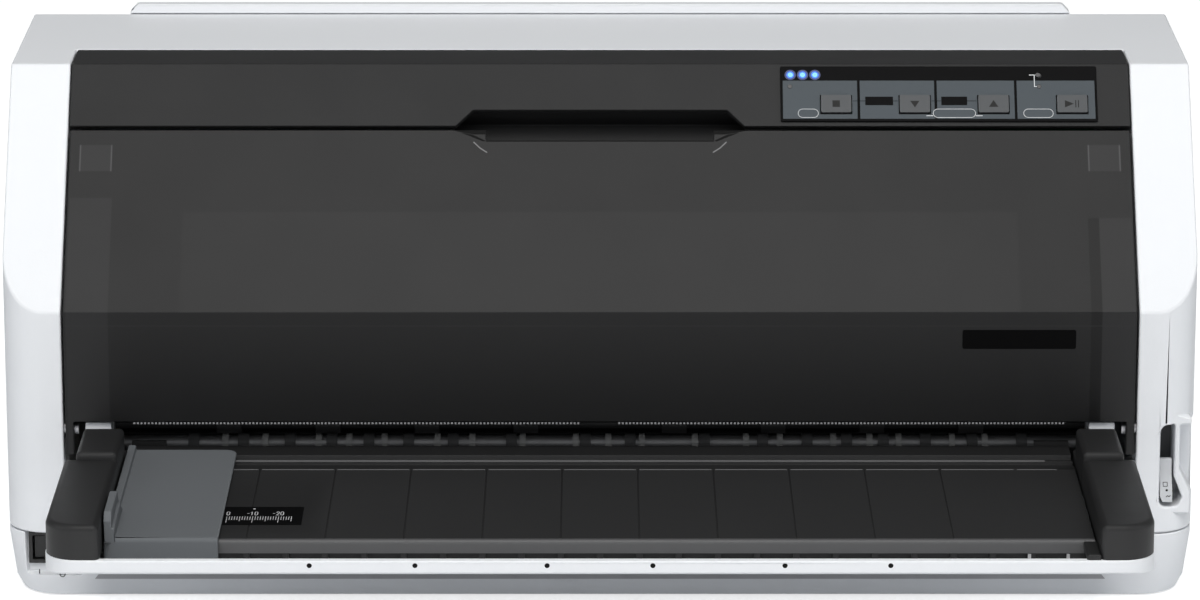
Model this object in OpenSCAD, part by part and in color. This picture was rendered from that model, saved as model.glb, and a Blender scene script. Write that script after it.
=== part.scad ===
// Flatbed dot matrix printer: a desk-width casing with a smoked front cover, a control strip on the
// bezel above it, and a paper shelf in front. +X is right, +Y is to the back, +Z is up, and Z = 0 is
// the table that the rubber feet stand on.

/* [Casing] */
// Width of the casing
case_w = 480; // [474:1:500]
// Depth of the casing, front face to rear face
case_d = 230; // [226:1:240]
// Height of the flat top over the table
top_z = 205.8; // [203:0.2:209]
// Height of the parting line between lower and upper case
seam_z = 27; // [26:0.5:28]
// Gap that shows at the parting line
seam_gap = 0.5; // [0.3:0.1:1]
// Height of the bend where the upright front starts to lean back
bend_z = 119.3; // [117:0.5:122]
// How far the sloping front runs back
slope_run = 68.7; // [67:0.5:71]
// Wall of both case halves
wall = 3; // [2.4:0.1:3.4]
// Plan radius of the front corners
corner_r = 17; // [12:0.5:22]
// Plan radius of the rear corners
rear_corner_r = 10; // [6:0.5:14]
// Depth of the flat top of the case, from the crease back
top_d = 97.3; // [94:0.5:100]
// Height where the sloping back turns upright
shoulder_z = 140; // [136:1:144]
// How much the lower case draws in on each side at its bottom
base_draw = 5; // [3:0.5:7]
// Width of each cheek beside the front opening
cheek_w = 24.3; // [23.9:0.1:25]
// Height of the lower edge of the front opening
opening_z = 38; // [37:0.5:40]
// Thickness of the inner wall that closes each cheek
cheek_wall = 2.5; // [2:0.1:3]

/* [Feet and screws] */
// Diameter of a rubber foot
foot_d = 18; // [14:1:22]
// Height of the feet under the lower case
foot_h = 0.8; // [0.6:0.1:1.2]
// Distance of the feet from the casing's sides
foot_set = 25; // [22:1:28]
// Diameter of a screw head
screw_head_d = 7; // [6:0.2:8]
// Diameter of a screw shank
screw_d = 3; // [2.5:0.1:4]

/* [Trim and controls] */
// Gap between the trim, the cover and the casing
trim_gap = 0.5; // [0.3:0.1:0.7]
// Thickness of the black trim
trim_t = 3; // [2.4:0.1:3.4]
// Depth of the trim on the flat top
trim_top_d = 26.7; // [24:0.1:30]
// Height of the trim up the slope
trim_slope_l = 28; // [27.6:0.1:28.6]
// Half width of the hand recess at its lower edge
recess_half_w = 59.5; // [56:0.5:63]
// Half width of the hand recess at its upper edge
recess_top_half_w = 51.5; // [49:0.5:54]
// Height of the hand recess in the trim
recess_h = 7.2; // [6:0.1:8]
// Depth of the hand recess behind the trim
recess_d = 15; // [13:0.5:17]
// Distance of the control overlay from the trim's right end
overlay_set = 13.2; // [12:0.1:15]
// Width of the control overlay
overlay_w = 128.7; // [127:0.1:130]
// Height of the control overlay up the slope
overlay_h = 24.8; // [24.4:0.1:25.2]
// How far the overlay stands proud of the trim
overlay_t = 0.8; // [0.5:0.1:1.2]
// Width of a button
button_w = 12.3; // [11:0.1:13]
// Height of a button
button_h = 7.8; // [7:0.1:8.4]
// How far a button stands proud of the overlay
button_rise = 0.9; // [0.6:0.1:1.2]
// Travel of a button
button_travel = 0.8; // [0.5:0.1:1]
// Gap round a button
button_gap = 0.4; // [0.3:0.05:0.5]
// Distance between buttons
button_pitch = 31.95; // [31.8:0.05:32.1]
// Diameter of an indicator lamp
lamp_d = 2.2; // [1.8:0.1:2.6]

/* [Cover] */
// Thickness of the smoked cover
cover_t = 2.4; // [2:0.1:2.8]
// Height of the cover's lower edge
cover_edge_z = 73.8; // [73:0.1:75]
// Depth of the cover's side returns
cover_return = 7; // [5:0.5:9]
// Height of the cover's pivot
pivot_z = 70; // [69:0.5:71]
// Setback of the cover's pivot from the front face
pivot_back = 5; // [4.5:0.5:6]
// Diameter of the hinge pins
pin_d = 5; // [4:0.1:6]
// Running clearance of a pin or shaft in its bore, on the radius
running = 0.05; // [0.03:0.01:0.08]
// Pitch of the teeth of the tear edge
tear_pitch = 1.45; // [1.3:0.05:2]

/* [Tray] */
// How far the tray reaches in front of the casing
tray_reach = 140; // [138:1:145]
// Distance of the tray's sides from the sides of the front opening
tray_side = 4.6; // [4.3:0.1:5.4]
// Height of the table that the paper lies on
table_z = 62; // [61.6:0.1:62.2]
// Height of the white lip's upper edge
lip_z = 59.9; // [59.5:0.1:60.3]
// Height of the white lip
lip_h = 4.7; // [4.2:0.1:5.4]
// Wall of the tray shell
tray_wall = 2.5; // [2:0.1:3]
// Plan radius of the tray's front corners
tray_corner_r = 15; // [12:0.5:20]
// Width of an arm
arm_w = 21.1; // [20.4:0.1:21.6]
// How much narrower the raised block is than its arm
arm_block_in = 4.8; // [3:0.2:6]
// Gap between the table and each arm
table_gap = 0.7; // [0.5:0.1:1]
// Setback of the table's front edge from the lip's front
table_set = 19; // [18.5:0.5:20.5]
// Distance between the fine grooves of the table
groove_pitch = 30; // [26:1:32]
// Height of the arms
arm_z = 73.5; // [72:0.5:74]
// Height of the raised block at the rear of each arm
arm_block_z = 76.5; // [76:0.5:77]
// Plan radius of the arms' front corners
arm_corner_r = 13; // [10:0.5:18]
// Width of the edge guide
guide_w = 43.4; // [38:0.2:46]
// Travel of the edge guide to the right
guide_travel = 25; // [20:1:25]
// Thickness of the edge guide's plate
guide_t = 1.7; // [1.4:0.1:2]
// Width of the edge guide's fence
fence_w = 3; // [2.4:0.1:3.4]
// Gap between a sliding piece and what it slides on
slide_gap = 0.3; // [0.25:0.05:0.4]
// Length of the scale strip
scale_l = 73.5; // [60:0.5:80]
// Width of the scale strip
scale_w = 17; // [14:0.5:20]

/* [Paper feed] */
// Setback of the front feed shaft from the front face
front_feed_back = 17; // [16.5:0.5:17.5]
// Diameter of both feed shafts
shaft_d = 6; // [5:0.5:6.5]
// Diameter of the rubber feed rollers
roller_d = 7.8; // [7.4:0.1:8.2]
// How far the rollers stand over the table
roller_rise = 2; // [1.5:0.1:2.2]
// Width of a rubber roller
roller_w = 4.4; // [3:0.1:5]
// Diameter of the pinch rollers
pinch_d = 8; // [7:0.2:8.4]
// Diameter of the pinch shafts
pinch_shaft_d = 4; // [3:0.2:4.4]
// Gear module
gear_module = 1.5; // [1.46:0.01:1.52]
// Teeth of each feed gear
feed_teeth = 16; // [14:2:18]
// Teeth of the large gear between them
middle_teeth = 56; // [54:2:58]
// Teeth of the motor pinion
pinion_teeth = 12; // [10:2:14]
// Face width of the gears
gear_w = 5; // [4:0.5:6]
// Diameter of the stepper motors
motor_d = 35; // [30:1:36]
// Length of the stepper motors
motor_l = 27; // [22:1:28]

/* [Print mechanism] */
// Distance of the steel side frames from the casing's sides
frame_set = 44; // [43:0.5:45]
// Thickness of the side frames
frame_t = 1.5; // [1.2:0.1:1.8]
// Distance of the print line behind the front face
print_line = 75; // [74:0.5:76]
// Width of the platen bar
platen_w = 16; // [14:0.5:18]
// Height of the platen over the table
platen_rise = 1; // [0.6:0.1:1.2]
// Diameter of the guide shaft
guide_shaft_d = 12; // [10:0.5:13]
// Height of the guide shaft
guide_shaft_z = 93; // [92:0.5:94]
// Width of the carriage
carriage_w = 48; // [44:1:52]
// Distance of the ribbon cartridge from each side frame
cartridge_gap = 12; // [10:0.5:16]
// Width of the inked ribbon
ribbon_w = 13; // [10:0.5:14]
// Diameter of the belt pulleys
pulley_d = 14; // [12:0.5:16]
// Width of the timing belt
belt_w = 6; // [5:0.5:7]
// Thickness of the timing belt
belt_t = 1.2; // [1:0.1:1.5]
// Thickness of the circuit boards
board_t = 1.6; // [1.2:0.1:2]
// Width of the two large circuit boards
board_w = 130; // [110:1:140]

/* [Rear and sockets] */
// Distance of the rear sheet guide from the casing's sides
hump_set = 40; // [37:0.5:43]
// Thickness of the rear sheet guide
hump_t = 2.6; // [2:0.1:3]
// How much the rear sheet guide's ends lean in
hump_lean = 3.4; // [2:0.2:4]
// How much the rear paper slot is set in from the rear sheet guide's ends
slot_set = 22; // [18:1:28]
// Lower edge of the rear paper slot
slot_z = 57; // [56.5:0.5:58]
// Height of the rear paper slot
slot_h = 18; // [14:0.5:20]
// Distance of the parallel socket's middle from the casing's side
parallel_set = 80; // [75:1:85]
// Distance between the middles of the parallel socket and the serial bus socket
bus_pitch = 48; // [44:1:52]
// Distance of the mains inlet's middle from the casing's side
inlet_set = 45; // [40:1:50]
// Height of the sockets' middle line
socket_z = 42; // [41.5:0.5:43]

/* [Switch and lever] */
// Distance of the power switch from the casing's side
switch_set = 8.5; // [8:0.1:9]
// Width of the power switch
switch_w = 19; // [17:0.5:20]
// Height of the power switch
switch_h = 13.5; // [12:0.1:14]
// Lower edge of the power switch
switch_z = 12.8; // [12.4:0.1:13.2]
// Depth of the pocket in front of the power switch
pocket_d = 6; // [5:0.5:7]
// Swing of the power rocker
rocker_swing = 14; // [10:1:16]
// Distance of the lever notch from the front opening
lever_set = 9.7; // [9.3:0.1:10.3]
// Width of the release lever
lever_w = 5.4; // [5:0.1:5.6]
// Lower edge of the lever notch
notch_z = 37.7; // [37:0.1:38.5]
// Height of the lever notch
notch_h = 34.4; // [33:0.2:36]
// Height of the release lever
lever_h = 19; // [17:0.5:21]

/* [Hidden] */
$fn = 48;
HULL_FN = 32;
eps = 0.01;

opening_half_w = case_w / 2 - cheek_w;
tray_half_w = opening_half_w - tray_side;
foot_x = case_w / 2 - foot_set;
hump_half_w = case_w / 2 - hump_set;
slot_half_w = hump_half_w - slot_set;
frame_half_w = case_w / 2 - frame_set;
parallel_x = case_w / 2 - parallel_set;
bus_x = parallel_x - bus_pitch;
inlet_x = -case_w / 2 + inlet_set;
switch_x = -case_w / 2 + switch_set;
lever_x = opening_half_w + lever_set;

back_y = (case_d + tray_reach) / 2;
front_y = back_y - case_d;
lip_y = front_y - tray_reach;
crease_y = front_y + slope_run;
top_rear_y = crease_y + top_d;
slope_angle = atan2(top_z - bend_z, slope_run);
slope_l = norm([slope_run, top_z - bend_z]);
floor_z = foot_h + wall;
inner_bend = (90 - slope_angle) / 2;
back_angle = atan2(top_z - shoulder_z, back_y - top_rear_y);
FOOT_Y = [front_y + foot_set, back_y - foot_set - 5];

trim_slope_y = slope_l - trim_slope_l;
cover_slope_l = trim_slope_y - 1.8;
cover_half_w = opening_half_w - 0.9;
overlay_x = opening_half_w - trim_gap - overlay_set - overlay_w;
overlay_y = slope_l - 1.5 - overlay_h;
button_x = overlay_x + 16.4;
button_y = overlay_y + 3.7;
lamp_x = overlay_x + 4.2;
lamp_y = slope_l - 5.5;
lamp_row = 5.2;
panel_board_depth = 9;
switch_rise = 3.2;

pivot_y = front_y + pivot_back;
pin_r = pin_d / 2;
arm_fit = 0.4;
ear_x = tray_half_w + arm_fit;
ear_drop = 10;

table_front_y = lip_y + table_set;
table_rear_y = front_y + 7;
arm_x = tray_half_w - arm_fit - arm_w;
table_half_w = arm_x - table_gap;
arm_rear_y = front_y - 17;
guide_x = -table_half_w;
guide_rear_y = front_y - 6;
guide_front_y = table_front_y - 2;
scale_front_y = lip_y + 41;
scale_x = guide_x;
slot_pitch = groove_pitch / 2;

feed_z = table_z + roller_rise - roller_d / 2;
front_feed_y = front_y + front_feed_back;
middle_r = gear_module * middle_teeth / 2;
feed_r = gear_module * feed_teeth / 2;
pinion_r = gear_module * pinion_teeth / 2;
middle_y = front_feed_y + feed_r + middle_r;
rear_feed_y = middle_y + feed_r + middle_r;
pinion_angle = -5 * 360 / middle_teeth;
pinion_y = middle_y + (middle_r + pinion_r) * cos(pinion_angle);
pinion_z = feed_z + (middle_r + pinion_r) * sin(pinion_angle);
pinch_z = feed_z + roller_d / 2 + 0.3 + pinch_d / 2;
frame_out = frame_half_w + frame_t;
gear_x = -frame_out - 1.5 - gear_w;
shaft_end = frame_out + 2;
bush_r = shaft_d / 2 + 2;
bush_flange = 1.2;
guide_edge = bush_r + bush_flange + 0.2;

print_y = front_y + print_line;
platen_z = table_z + platen_rise;
beam_z = platen_z - 11;
beam_h = 6;
ribbon_z = platen_z + 2;
nose_z = ribbon_z + 0.25 + 0.35;
guide_shaft_y = print_y + 30;
carriage_z = nose_z + 12;
rail_y = print_y - 26;
belt_z = guide_shaft_z + 19;
belt_y = guide_shaft_y + 28;
pulley_x = frame_half_w - 31;
frame_rear_y = belt_y + 15;
cartridge_y = print_y - 52;
cartridge_d = 22;
cartridge_z = carriage_z + 6;
cartridge_h = 20;
cartridge_half_w = frame_half_w - cartridge_gap;
knob_x = -cartridge_half_w + 34;
board_z = floor_z + 8;
board_x1 = frame_half_w - 1;
board_x0 = board_x1 - board_w;
board_y0 = frame_rear_y - 13;
board_y1 = back_y - 19;
board_d = board_y1 - board_y0;

notch_r = 3;
notch_w = lever_w + 0.6;
lever_pivot_y = front_y + 4.2;
lever_pivot_z = notch_z + 4.8;
lever_pin_r = 1.6;
rocker_y = front_y + pocket_d + 5;
rocker_pin_r = 1.2;

hinge_off = 3.7;
lid_pin_r = 1.6;
lid_barrel_r = 3;
shelf_z = belt_z - 5.5;
shelf_t = 1.5;
lid_pivot_y = back_y - 7 + hinge_off * sin(back_angle);
lid_pivot_z = shoulder_z + 7 * tan(back_angle) + hinge_off * cos(back_angle);

// The lists of places are for side frames 392 apart, and spread with them
spread = frame_half_w / 196;
// Places of the rubber rollers along the front shaft
FRONT_ROLLERS = spread * [-164.4, -144.3, -125.4, -108.5, -93.5, -77.4, -59.4, -35.8, -5.9,
    12.2, 42.3, 65.8, 83.8, 99.8, 114.7, 131.7, 150.6, 170.6];
// Places of the spring clips along the front shaft
CLIPS = spread * [-151.6, -135.4, -113.8, -101.5, -87.2, -65.7, -51.7, -31.3, -9.8, 3.4,
    16.9, 38.4, 59.1, 72.8, 94.4, 109.1, 120.9, 142.5, 155.7];
// Places of the rear rollers, and of the pinch rollers over both shafts
REAR_ROLLERS = spread * [-150, -110, -70, -30, 30, 70, 110, 150];

// ---- shared shapes ----

module box(x0, x1, y0, y1, z0, z1)
    translate([x0, y0, z0]) cube([x1 - x0, y1 - y0, z1 - z0]);

// An outline in Y and Z, extruded along X
module side_slab(x0, x1, outline)
    translate([x0, 0, 0]) rotate([90, 0, 90]) linear_extrude(x1 - x0) polygon(outline);

module rod_x(x0, x1, y, z, r)
    translate([x0, y, z]) rotate([0, 90, 0]) cylinder(h = x1 - x0, r = r);

module rod_z(x, y, z0, z1, r)
    translate([x, y, z0]) cylinder(h = z1 - z0, r = r);

module rod_y(x, z, y0, y1, r)
    translate([x, y0, z]) rotate([-90, 0, 0]) cylinder(h = y1 - y0, r = r);

module both_sides() {
    children();
    mirror([1, 0, 0]) children();
}

// Frame of the sloping front: X along the casing, Y up the slope from the bend, Z outward
module on_slope()
    translate([0, front_y, bend_z]) rotate([slope_angle, 0, 0]) children();

// A point in Y and Z at distance s up the slope and depth d behind it
function at(s, d) = [front_y + s * cos(slope_angle) + d * sin(slope_angle),
    bend_z + s * sin(slope_angle) - d * cos(slope_angle)];

// Four upright corner posts, which a hull joins into a slab
module corner_posts(half_w, y0, y1, r_front, r_rear, z0, z1) {
    for (side = [-1, 1]) {
        translate([side * (half_w - r_front), y0 + r_front, z0])
            cylinder(h = z1 - z0, r = r_front, $fn = HULL_FN);
        translate([side * (half_w - r_rear), y1 - r_rear, z0])
            cylinder(h = z1 - z0, r = r_rear, $fn = HULL_FN);
    }
}

// The casing's outer form, or the hollow in it, drawn in by inset on all faces
module casing_form(inset, z0) {
    top_front = crease_y + inset * tan(slope_angle / 2);
    top_back = top_rear_y - inset * tan(back_angle / 2);
    shoulder = shoulder_z - inset * tan((90 - back_angle) / 2);
    intersection() {
        side_slab(-case_w / 2, case_w / 2, [
            [front_y + inset, z0], [front_y + inset, bend_z - inset * tan(inner_bend)],
            [top_front, top_z - inset], [top_back, top_z - inset],
            [back_y - inset, shoulder], [back_y - inset, z0]]);
        linear_extrude(top_z + 10) rounded_plan(case_w / 2 - inset, front_y + inset, back_y - inset,
            corner_r - inset, rear_corner_r - inset);
    }
}

// A plan with its four corners rounded
module rounded_plan(half_w, y0, y1, r_front, r_rear) {
    translate([-half_w, y0 + r_front]) square([2 * half_w, y1 - y0 - r_front - r_rear]);
    translate([r_front - half_w, y0]) square([2 * (half_w - r_front), 2 * r_front]);
    translate([r_rear - half_w, y1 - 2 * r_rear]) square([2 * (half_w - r_rear), 2 * r_rear]);
    for (side = [-1, 1]) {
        translate([side * (half_w - r_front), y0 + r_front]) circle(r_front);
        translate([side * (half_w - r_rear), y1 - r_rear]) circle(r_rear);
    }
}

// A plan with its two front corners rounded
module front_rounded(x0, x1, y0, y1, r) {
    translate([x0, y0 + r]) square([x1 - x0, y1 - y0 - r]);
    translate([x0 + r, y0]) square([x1 - x0 - 2 * r, 2 * r]);
    translate([x0 + r, y0 + r]) circle(r);
    translate([x1 - r, y0 + r]) circle(r);
}

// A rectangle in the plane of the slope, with rounded corners
module soft_plate(x, y, w, h, t, r) {
    translate([x + r, y, 0]) cube([w - 2 * r, h, t]);
    translate([x, y + r, 0]) cube([w, h - 2 * r, t]);
    for (cx = [x + r, x + w - r], cy = [y + r, y + h - r])
        translate([cx, cy, 0]) cylinder(h = t, r = r);
}

// Points of one involute-like tooth, turned to its place on the wheel
function tooth(m, n, k) = let(
        pitch_r = m * n / 2,
        a = 360 / n * k,
        root_half = 360 / n * 0.33,
        pitch_half = 360 / n * 0.235,
        mid_half = 360 / n * 0.17,
        tip_half = 360 / n * 0.09)
    [for (p = [[-root_half, -1.2], [-pitch_half, 0], [-mid_half, 0.5], [-tip_half, 0.9],
               [tip_half, 0.9], [mid_half, 0.5], [pitch_half, 0], [root_half, -1.2]])
        (pitch_r + p[1] * m) * [cos(a + p[0]), sin(a + p[0])]];

// A spur gear on the X axis; a tooth stands at the angle phase
module spur_gear(m, n, w, phase, bore_r) {
    rotate([0, 0, phase]) linear_extrude(w) difference() {
        polygon([for (k = [0:n - 1], p = tooth(m, n, k)) p]);
        circle(bore_r);
    }
}

module gear_at(x, y, z, n, phase, bore_r)
    translate([x, y, z]) rotate([90, 0, 90]) spur_gear(gear_module, n, gear_w, phase, bore_r);

// ---- casing ----

// The outer form of the lower case, drawn in towards its bottom
module lower_form() hull() {
    corner_posts(case_w / 2, front_y, back_y, corner_r, rear_corner_r, seam_z - 3, seam_z - seam_gap);
    corner_posts(case_w / 2 - base_draw * 0.5, front_y + 0.3, back_y - 0.6, corner_r,
        rear_corner_r, foot_h + 5, foot_h + 6);
    corner_posts(case_w / 2 - base_draw, front_y + 1.2, back_y - 2, corner_r,
        rear_corner_r, foot_h, foot_h + 1);
}

module lower_case() {
    pocket_right = switch_x + switch_w + 3;
    color([0.80, 0.81, 0.83]) difference() {
        union() {
            difference() {
                lower_form();
                hull() {
                    corner_posts(case_w / 2 - wall, front_y + wall, back_y - wall,
                        corner_r - wall, rear_corner_r - wall, seam_z, seam_z + 1);
                    corner_posts(case_w / 2 - wall - base_draw, front_y + wall + 1.2, back_y - wall - 2,
                        corner_r - wall, rear_corner_r - wall, floor_z, floor_z + 1);
                }
            }
            // walls and floor of the switch pocket
            intersection() {
                box(switch_x - 4.5, pocket_right + 3, front_y + 2, front_y + pocket_d + 3,
                    floor_z - eps, seam_z - seam_gap);
                lower_form();
            }
            for (side = [-1, 1], y = FOOT_Y)
                translate([side * foot_x, y, foot_h + eps])
                    cylinder(h = wall + 3, d = foot_d + 6);
            // posts under the boards
            for (side = [-1, 1], x = [board_x0 + 10, board_x1 - 10], y = [board_y0 + 5, board_y1 - 6])
                rod_z(side * x, y, floor_z - 1, board_z, 3);
        }
        // recess of the power switch, with a slanting left wall
        translate([0, 0, switch_z - 3.6]) linear_extrude(seam_z)
            polygon([[switch_x - 4, front_y - 4], [switch_x - 0.2, front_y + pocket_d],
                [pocket_right - 1, front_y + pocket_d], [pocket_right, front_y - 4]]);
        box(switch_x, switch_x + switch_w, front_y, front_y + 20, switch_z, switch_z + switch_h);
        for (side = [-1, 1], y = FOOT_Y) {
            translate([side * foot_x, y, foot_h - 1]) cylinder(h = 2, d = foot_d + 0.4);
            translate([side * foot_x, y, foot_h]) cylinder(h = 12, d = screw_d);
            translate([side * foot_x, y, foot_h + wall + 1.2]) cylinder(h = 12, d = screw_head_d + 1);
        }
    }
}

module upper_case() {
    fin_x = lever_x + notch_w;
    side_x = fin_x + 2;
    color([0.93, 0.94, 0.95]) difference() {
        union() {
            difference() {
                casing_form(0, seam_z);
                difference() {
                    casing_form(wall, seam_z - 1);
                    // inner walls of the cheeks
                    both_sides() box(opening_half_w, opening_half_w + cheek_wall,
                        front_y, crease_y + 40, seam_z - 2, top_z);
                }
            }
            // block that the lever notch is cut from
            box(lever_x - 2.5, case_w / 2 - 2, front_y + 2, front_y + 26,
                notch_z - 3, notch_z + notch_h + 3);
            both_sides() screw_boss(case_w / 2 - 15, seam_z + 9);
            // ribs that the rear hinge brackets and the top stand on
            both_sides() box(hump_half_w - 13, hump_half_w - 10, crease_y + 40, top_rear_y,
                top_z - wall - 8, top_z - wall + eps);
        }
        // front opening for the trim, the cover and the paper throat
        side_slab(-opening_half_w, opening_half_w, [
            [front_y - 1, opening_z], [front_y - 1, top_z + 5],
            [crease_y + trim_top_d + trim_gap, top_z + 5],
            [crease_y + trim_top_d + trim_gap, top_z - wall - 2], [front_y + 20, opening_z]]);
        // opening under the rear sheet guide
        side_slab(-hump_half_w + 14, hump_half_w - 14, [
            [top_rear_y + 8, top_z + 4], [back_y - 18, shoulder_z + 34],
            [back_y - 18, shoulder_z + 8], [top_rear_y + 8, top_z - 22]]);
        // rear paper slot
        box(-slot_half_w, slot_half_w, back_y - 8, back_y + 1, slot_z, slot_z + slot_h);
        // windows for the sockets
        box(parallel_x - 64, parallel_x + 40, back_y - 8, back_y + 1, socket_z - 10.4, socket_z + 10.4);
        box(inlet_x - 14, inlet_x + 14, back_y - 8, back_y + 1, socket_z - 10.4, socket_z + 10.4);
        both_sides() screw_hole(case_w / 2 - 15, seam_z + 9);
        // lever notch: the finger pocket and the pressed-in side
        translate([0, front_y + 22, 0]) rotate([90, 0, 0]) linear_extrude(40) notch_outline(0);
        translate([0, front_y + 22, 0]) rotate([90, 0, 0]) linear_extrude(40)
            polygon([[side_x, notch_z + notch_h], [case_w / 2 + 5, notch_z + notch_h],
                [case_w / 2 + 5, notch_z + 3], [case_w / 2, notch_z + 3], [side_x, notch_z + 16]]);
        // the notch is open from the front bend of the pressed-in side down
        translate([0, front_y + 22, 0]) rotate([90, 0, 0]) linear_extrude(40)
            polygon([[fin_x - 1, notch_z], [fin_x + 1.5, notch_z], [fin_x + 3.5, notch_z + 3.6],
                [fin_x - 1, notch_z + 15]]);
    }
}

// The finger pocket's outline, or what fits in it with that much room all round
module notch_outline(fit) {
    r = notch_r - fit;
    translate([lever_x + notch_r, notch_z + fit]) square([notch_w - notch_r - fit, notch_h - 2 * fit]);
    translate([lever_x + fit, notch_z + notch_r]) square([notch_r + 1, notch_h - 2 * notch_r]);
    translate([lever_x + notch_r, notch_z + notch_r]) circle(r);
    translate([lever_x + notch_r, notch_z + notch_h - notch_r]) circle(r);
}

module screw_boss(x, z) rod_y(x, z, back_y - 10, back_y - 1, screw_head_d / 2 + 3);

module screw_hole(x, z) {
    rod_y(x, z, back_y - 11, back_y + 1, screw_d / 2);
    rod_y(x, z, back_y - 3, back_y + 1, screw_head_d / 2 + 0.4);
}

module rubber_feet() {
    color([0.12, 0.12, 0.12]) for (side = [-1, 1], y = FOOT_Y)
        translate([side * foot_x, y, 0]) difference() {
            union() {
                cylinder(h = foot_h, d1 = foot_d - 1.4, d2 = foot_d);
                translate([0, 0, foot_h - eps]) cylinder(h = 1 + eps, d = foot_d);
            }
            translate([0, 0, -1]) cylinder(h = 1.8, d = foot_d / 2);
        }
}

module case_screws() {
    color([0.70, 0.70, 0.72]) {
        both_sides() difference() {
            union() {
                rod_y(case_w / 2 - 15, seam_z + 9, back_y - 10.5, back_y - 2.9, screw_d / 2);
                rod_y(case_w / 2 - 15, seam_z + 9, back_y - 3, back_y - 0.8, screw_head_d / 2);
            }
            cross_slot(case_w / 2 - 15, back_y - 1.8, seam_z + 9);
        }
        for (side = [-1, 1], y = FOOT_Y) translate([side * foot_x, y, 0]) {
            translate([0, 0, foot_h + 1.4]) cylinder(h = wall, d = screw_d);
            translate([0, 0, foot_h + wall + 1.2]) cylinder(h = 1.8, d = screw_head_d);
        }
    }
}

module cross_slot(x, y, z) {
    translate([x - 2, y, z - 0.5]) cube([4, 3, 1]);
    translate([x - 0.5, y, z - 2]) cube([1, 3, 4]);
}

// ---- trim and controls ----

module top_trim() {
    x1 = opening_half_w - trim_gap;
    back = crease_y + trim_top_d;
    inner_top = crease_y + trim_t * tan(slope_angle / 2);
    color([0.16, 0.16, 0.17]) difference() {
        union() {
            side_slab(-x1, x1, [at(trim_slope_y, 0), [crease_y, top_z], [back, top_z],
                [back, top_z - trim_t], [inner_top, top_z - trim_t], at(trim_slope_y, trim_t)]);
            // pocket behind the hand recess
            on_slope() difference() {
                translate([-recess_half_w - 2, trim_slope_y, -recess_d - 1.5])
                    cube([2 * recess_half_w + 4, recess_h + 2, recess_d]);
                translate([-recess_half_w, trim_slope_y - 4, -recess_d])
                    cube([2 * recess_half_w, recess_h + 4.5, recess_d + 2]);
            }
            // posts that hold the panel board
            on_slope() for (p = [[4, 4], [overlay_w - 4, overlay_h - 4]])
                translate([overlay_x + p[0], overlay_y + p[1], -panel_board_depth])
                    cylinder(h = panel_board_depth - trim_t + 0.5, r = 2.4);
        }
        on_slope() linear_extrude(20, center = true)
            polygon([[-recess_half_w, trim_slope_y - 1], [-recess_top_half_w, trim_slope_y + recess_h],
                [recess_top_half_w, trim_slope_y + recess_h], [recess_half_w, trim_slope_y - 1]]);
        on_slope() for (i = [0:3])
            soft_cut(button_x + i * button_pitch, button_y, button_w, button_h, button_gap);
        on_slope() lamp_places() translate([0, 0, -trim_t - 1]) cylinder(h = trim_t + 2, d = lamp_d + 0.4);
    }
}

// A hole round a button, through whatever it is cut from
module soft_cut(x, y, w, h, gap)
    translate([0, 0, -trim_t - 2]) soft_plate(x - gap, y - gap, w + 2 * gap, h + 2 * gap, 10, 1);

module lit_places() for (i = [0:2]) translate([lamp_x + 5 * i, lamp_y, 0]) children();

module dark_places() for (p = [[0, -lamp_row], [101, 0], [101, -lamp_row]])
    translate([lamp_x + p[0], lamp_y + p[1], 0]) children();

module lamp_places() {
    lit_places() children();
    dark_places() children();
}

module control_overlay() {
    color([0.36, 0.39, 0.42]) on_slope() difference() {
        soft_plate(overlay_x, overlay_y, overlay_w, overlay_h, overlay_t, 0.8);
        for (i = [0:3]) soft_cut(button_x + i * button_pitch, button_y, button_w, button_h, button_gap);
        lamp_places() translate([0, 0, -1]) cylinder(h = 3, d = lamp_d + 0.4);
    }
}

module button(i) {
    color([0.24, 0.25, 0.26]) on_slope() {
        translate([0, 0, -trim_t + button_travel])
            soft_plate(button_x + i * button_pitch, button_y, button_w, button_h,
                trim_t - button_travel + overlay_t + button_rise, 0.7);
        translate([button_x + i * button_pitch + button_w / 2, button_y + button_h / 2,
            -panel_board_depth + switch_rise + button_travel + 0.1])
            cylinder(h = panel_board_depth - switch_rise - trim_t, r = 1.6);
    }
}

module button_square() button(0);
module button_down() button(1);
module button_up() button(2);
module button_play() button(3);

module lamp() {
    translate([0, 0, -panel_board_depth]) cylinder(h = panel_board_depth + overlay_t - 0.4, d = lamp_d);
    translate([0, 0, overlay_t - 0.5]) cylinder(h = 0.5, d1 = lamp_d, d2 = lamp_d * 0.7);
}

module lamps_lit() {
    color([0.1, 0.5, 1]) on_slope() lit_places() lamp();
}

module lamps_dark() {
    color([0.15, 0.15, 0.16]) on_slope() dark_places() lamp();
}

module panel_board() {
    color([0.1, 0.35, 0.2]) on_slope() {
        translate([overlay_x + 1, overlay_y + 1, -panel_board_depth - board_t])
            cube([overlay_w - 2, overlay_h - 2, board_t]);
        for (i = [0:3]) translate([button_x + i * button_pitch + button_w / 2 - 3,
            button_y + button_h / 2 - 3, -panel_board_depth - eps]) cube([6, 6, switch_rise]);
    }
}

// ---- cover ----

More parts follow.
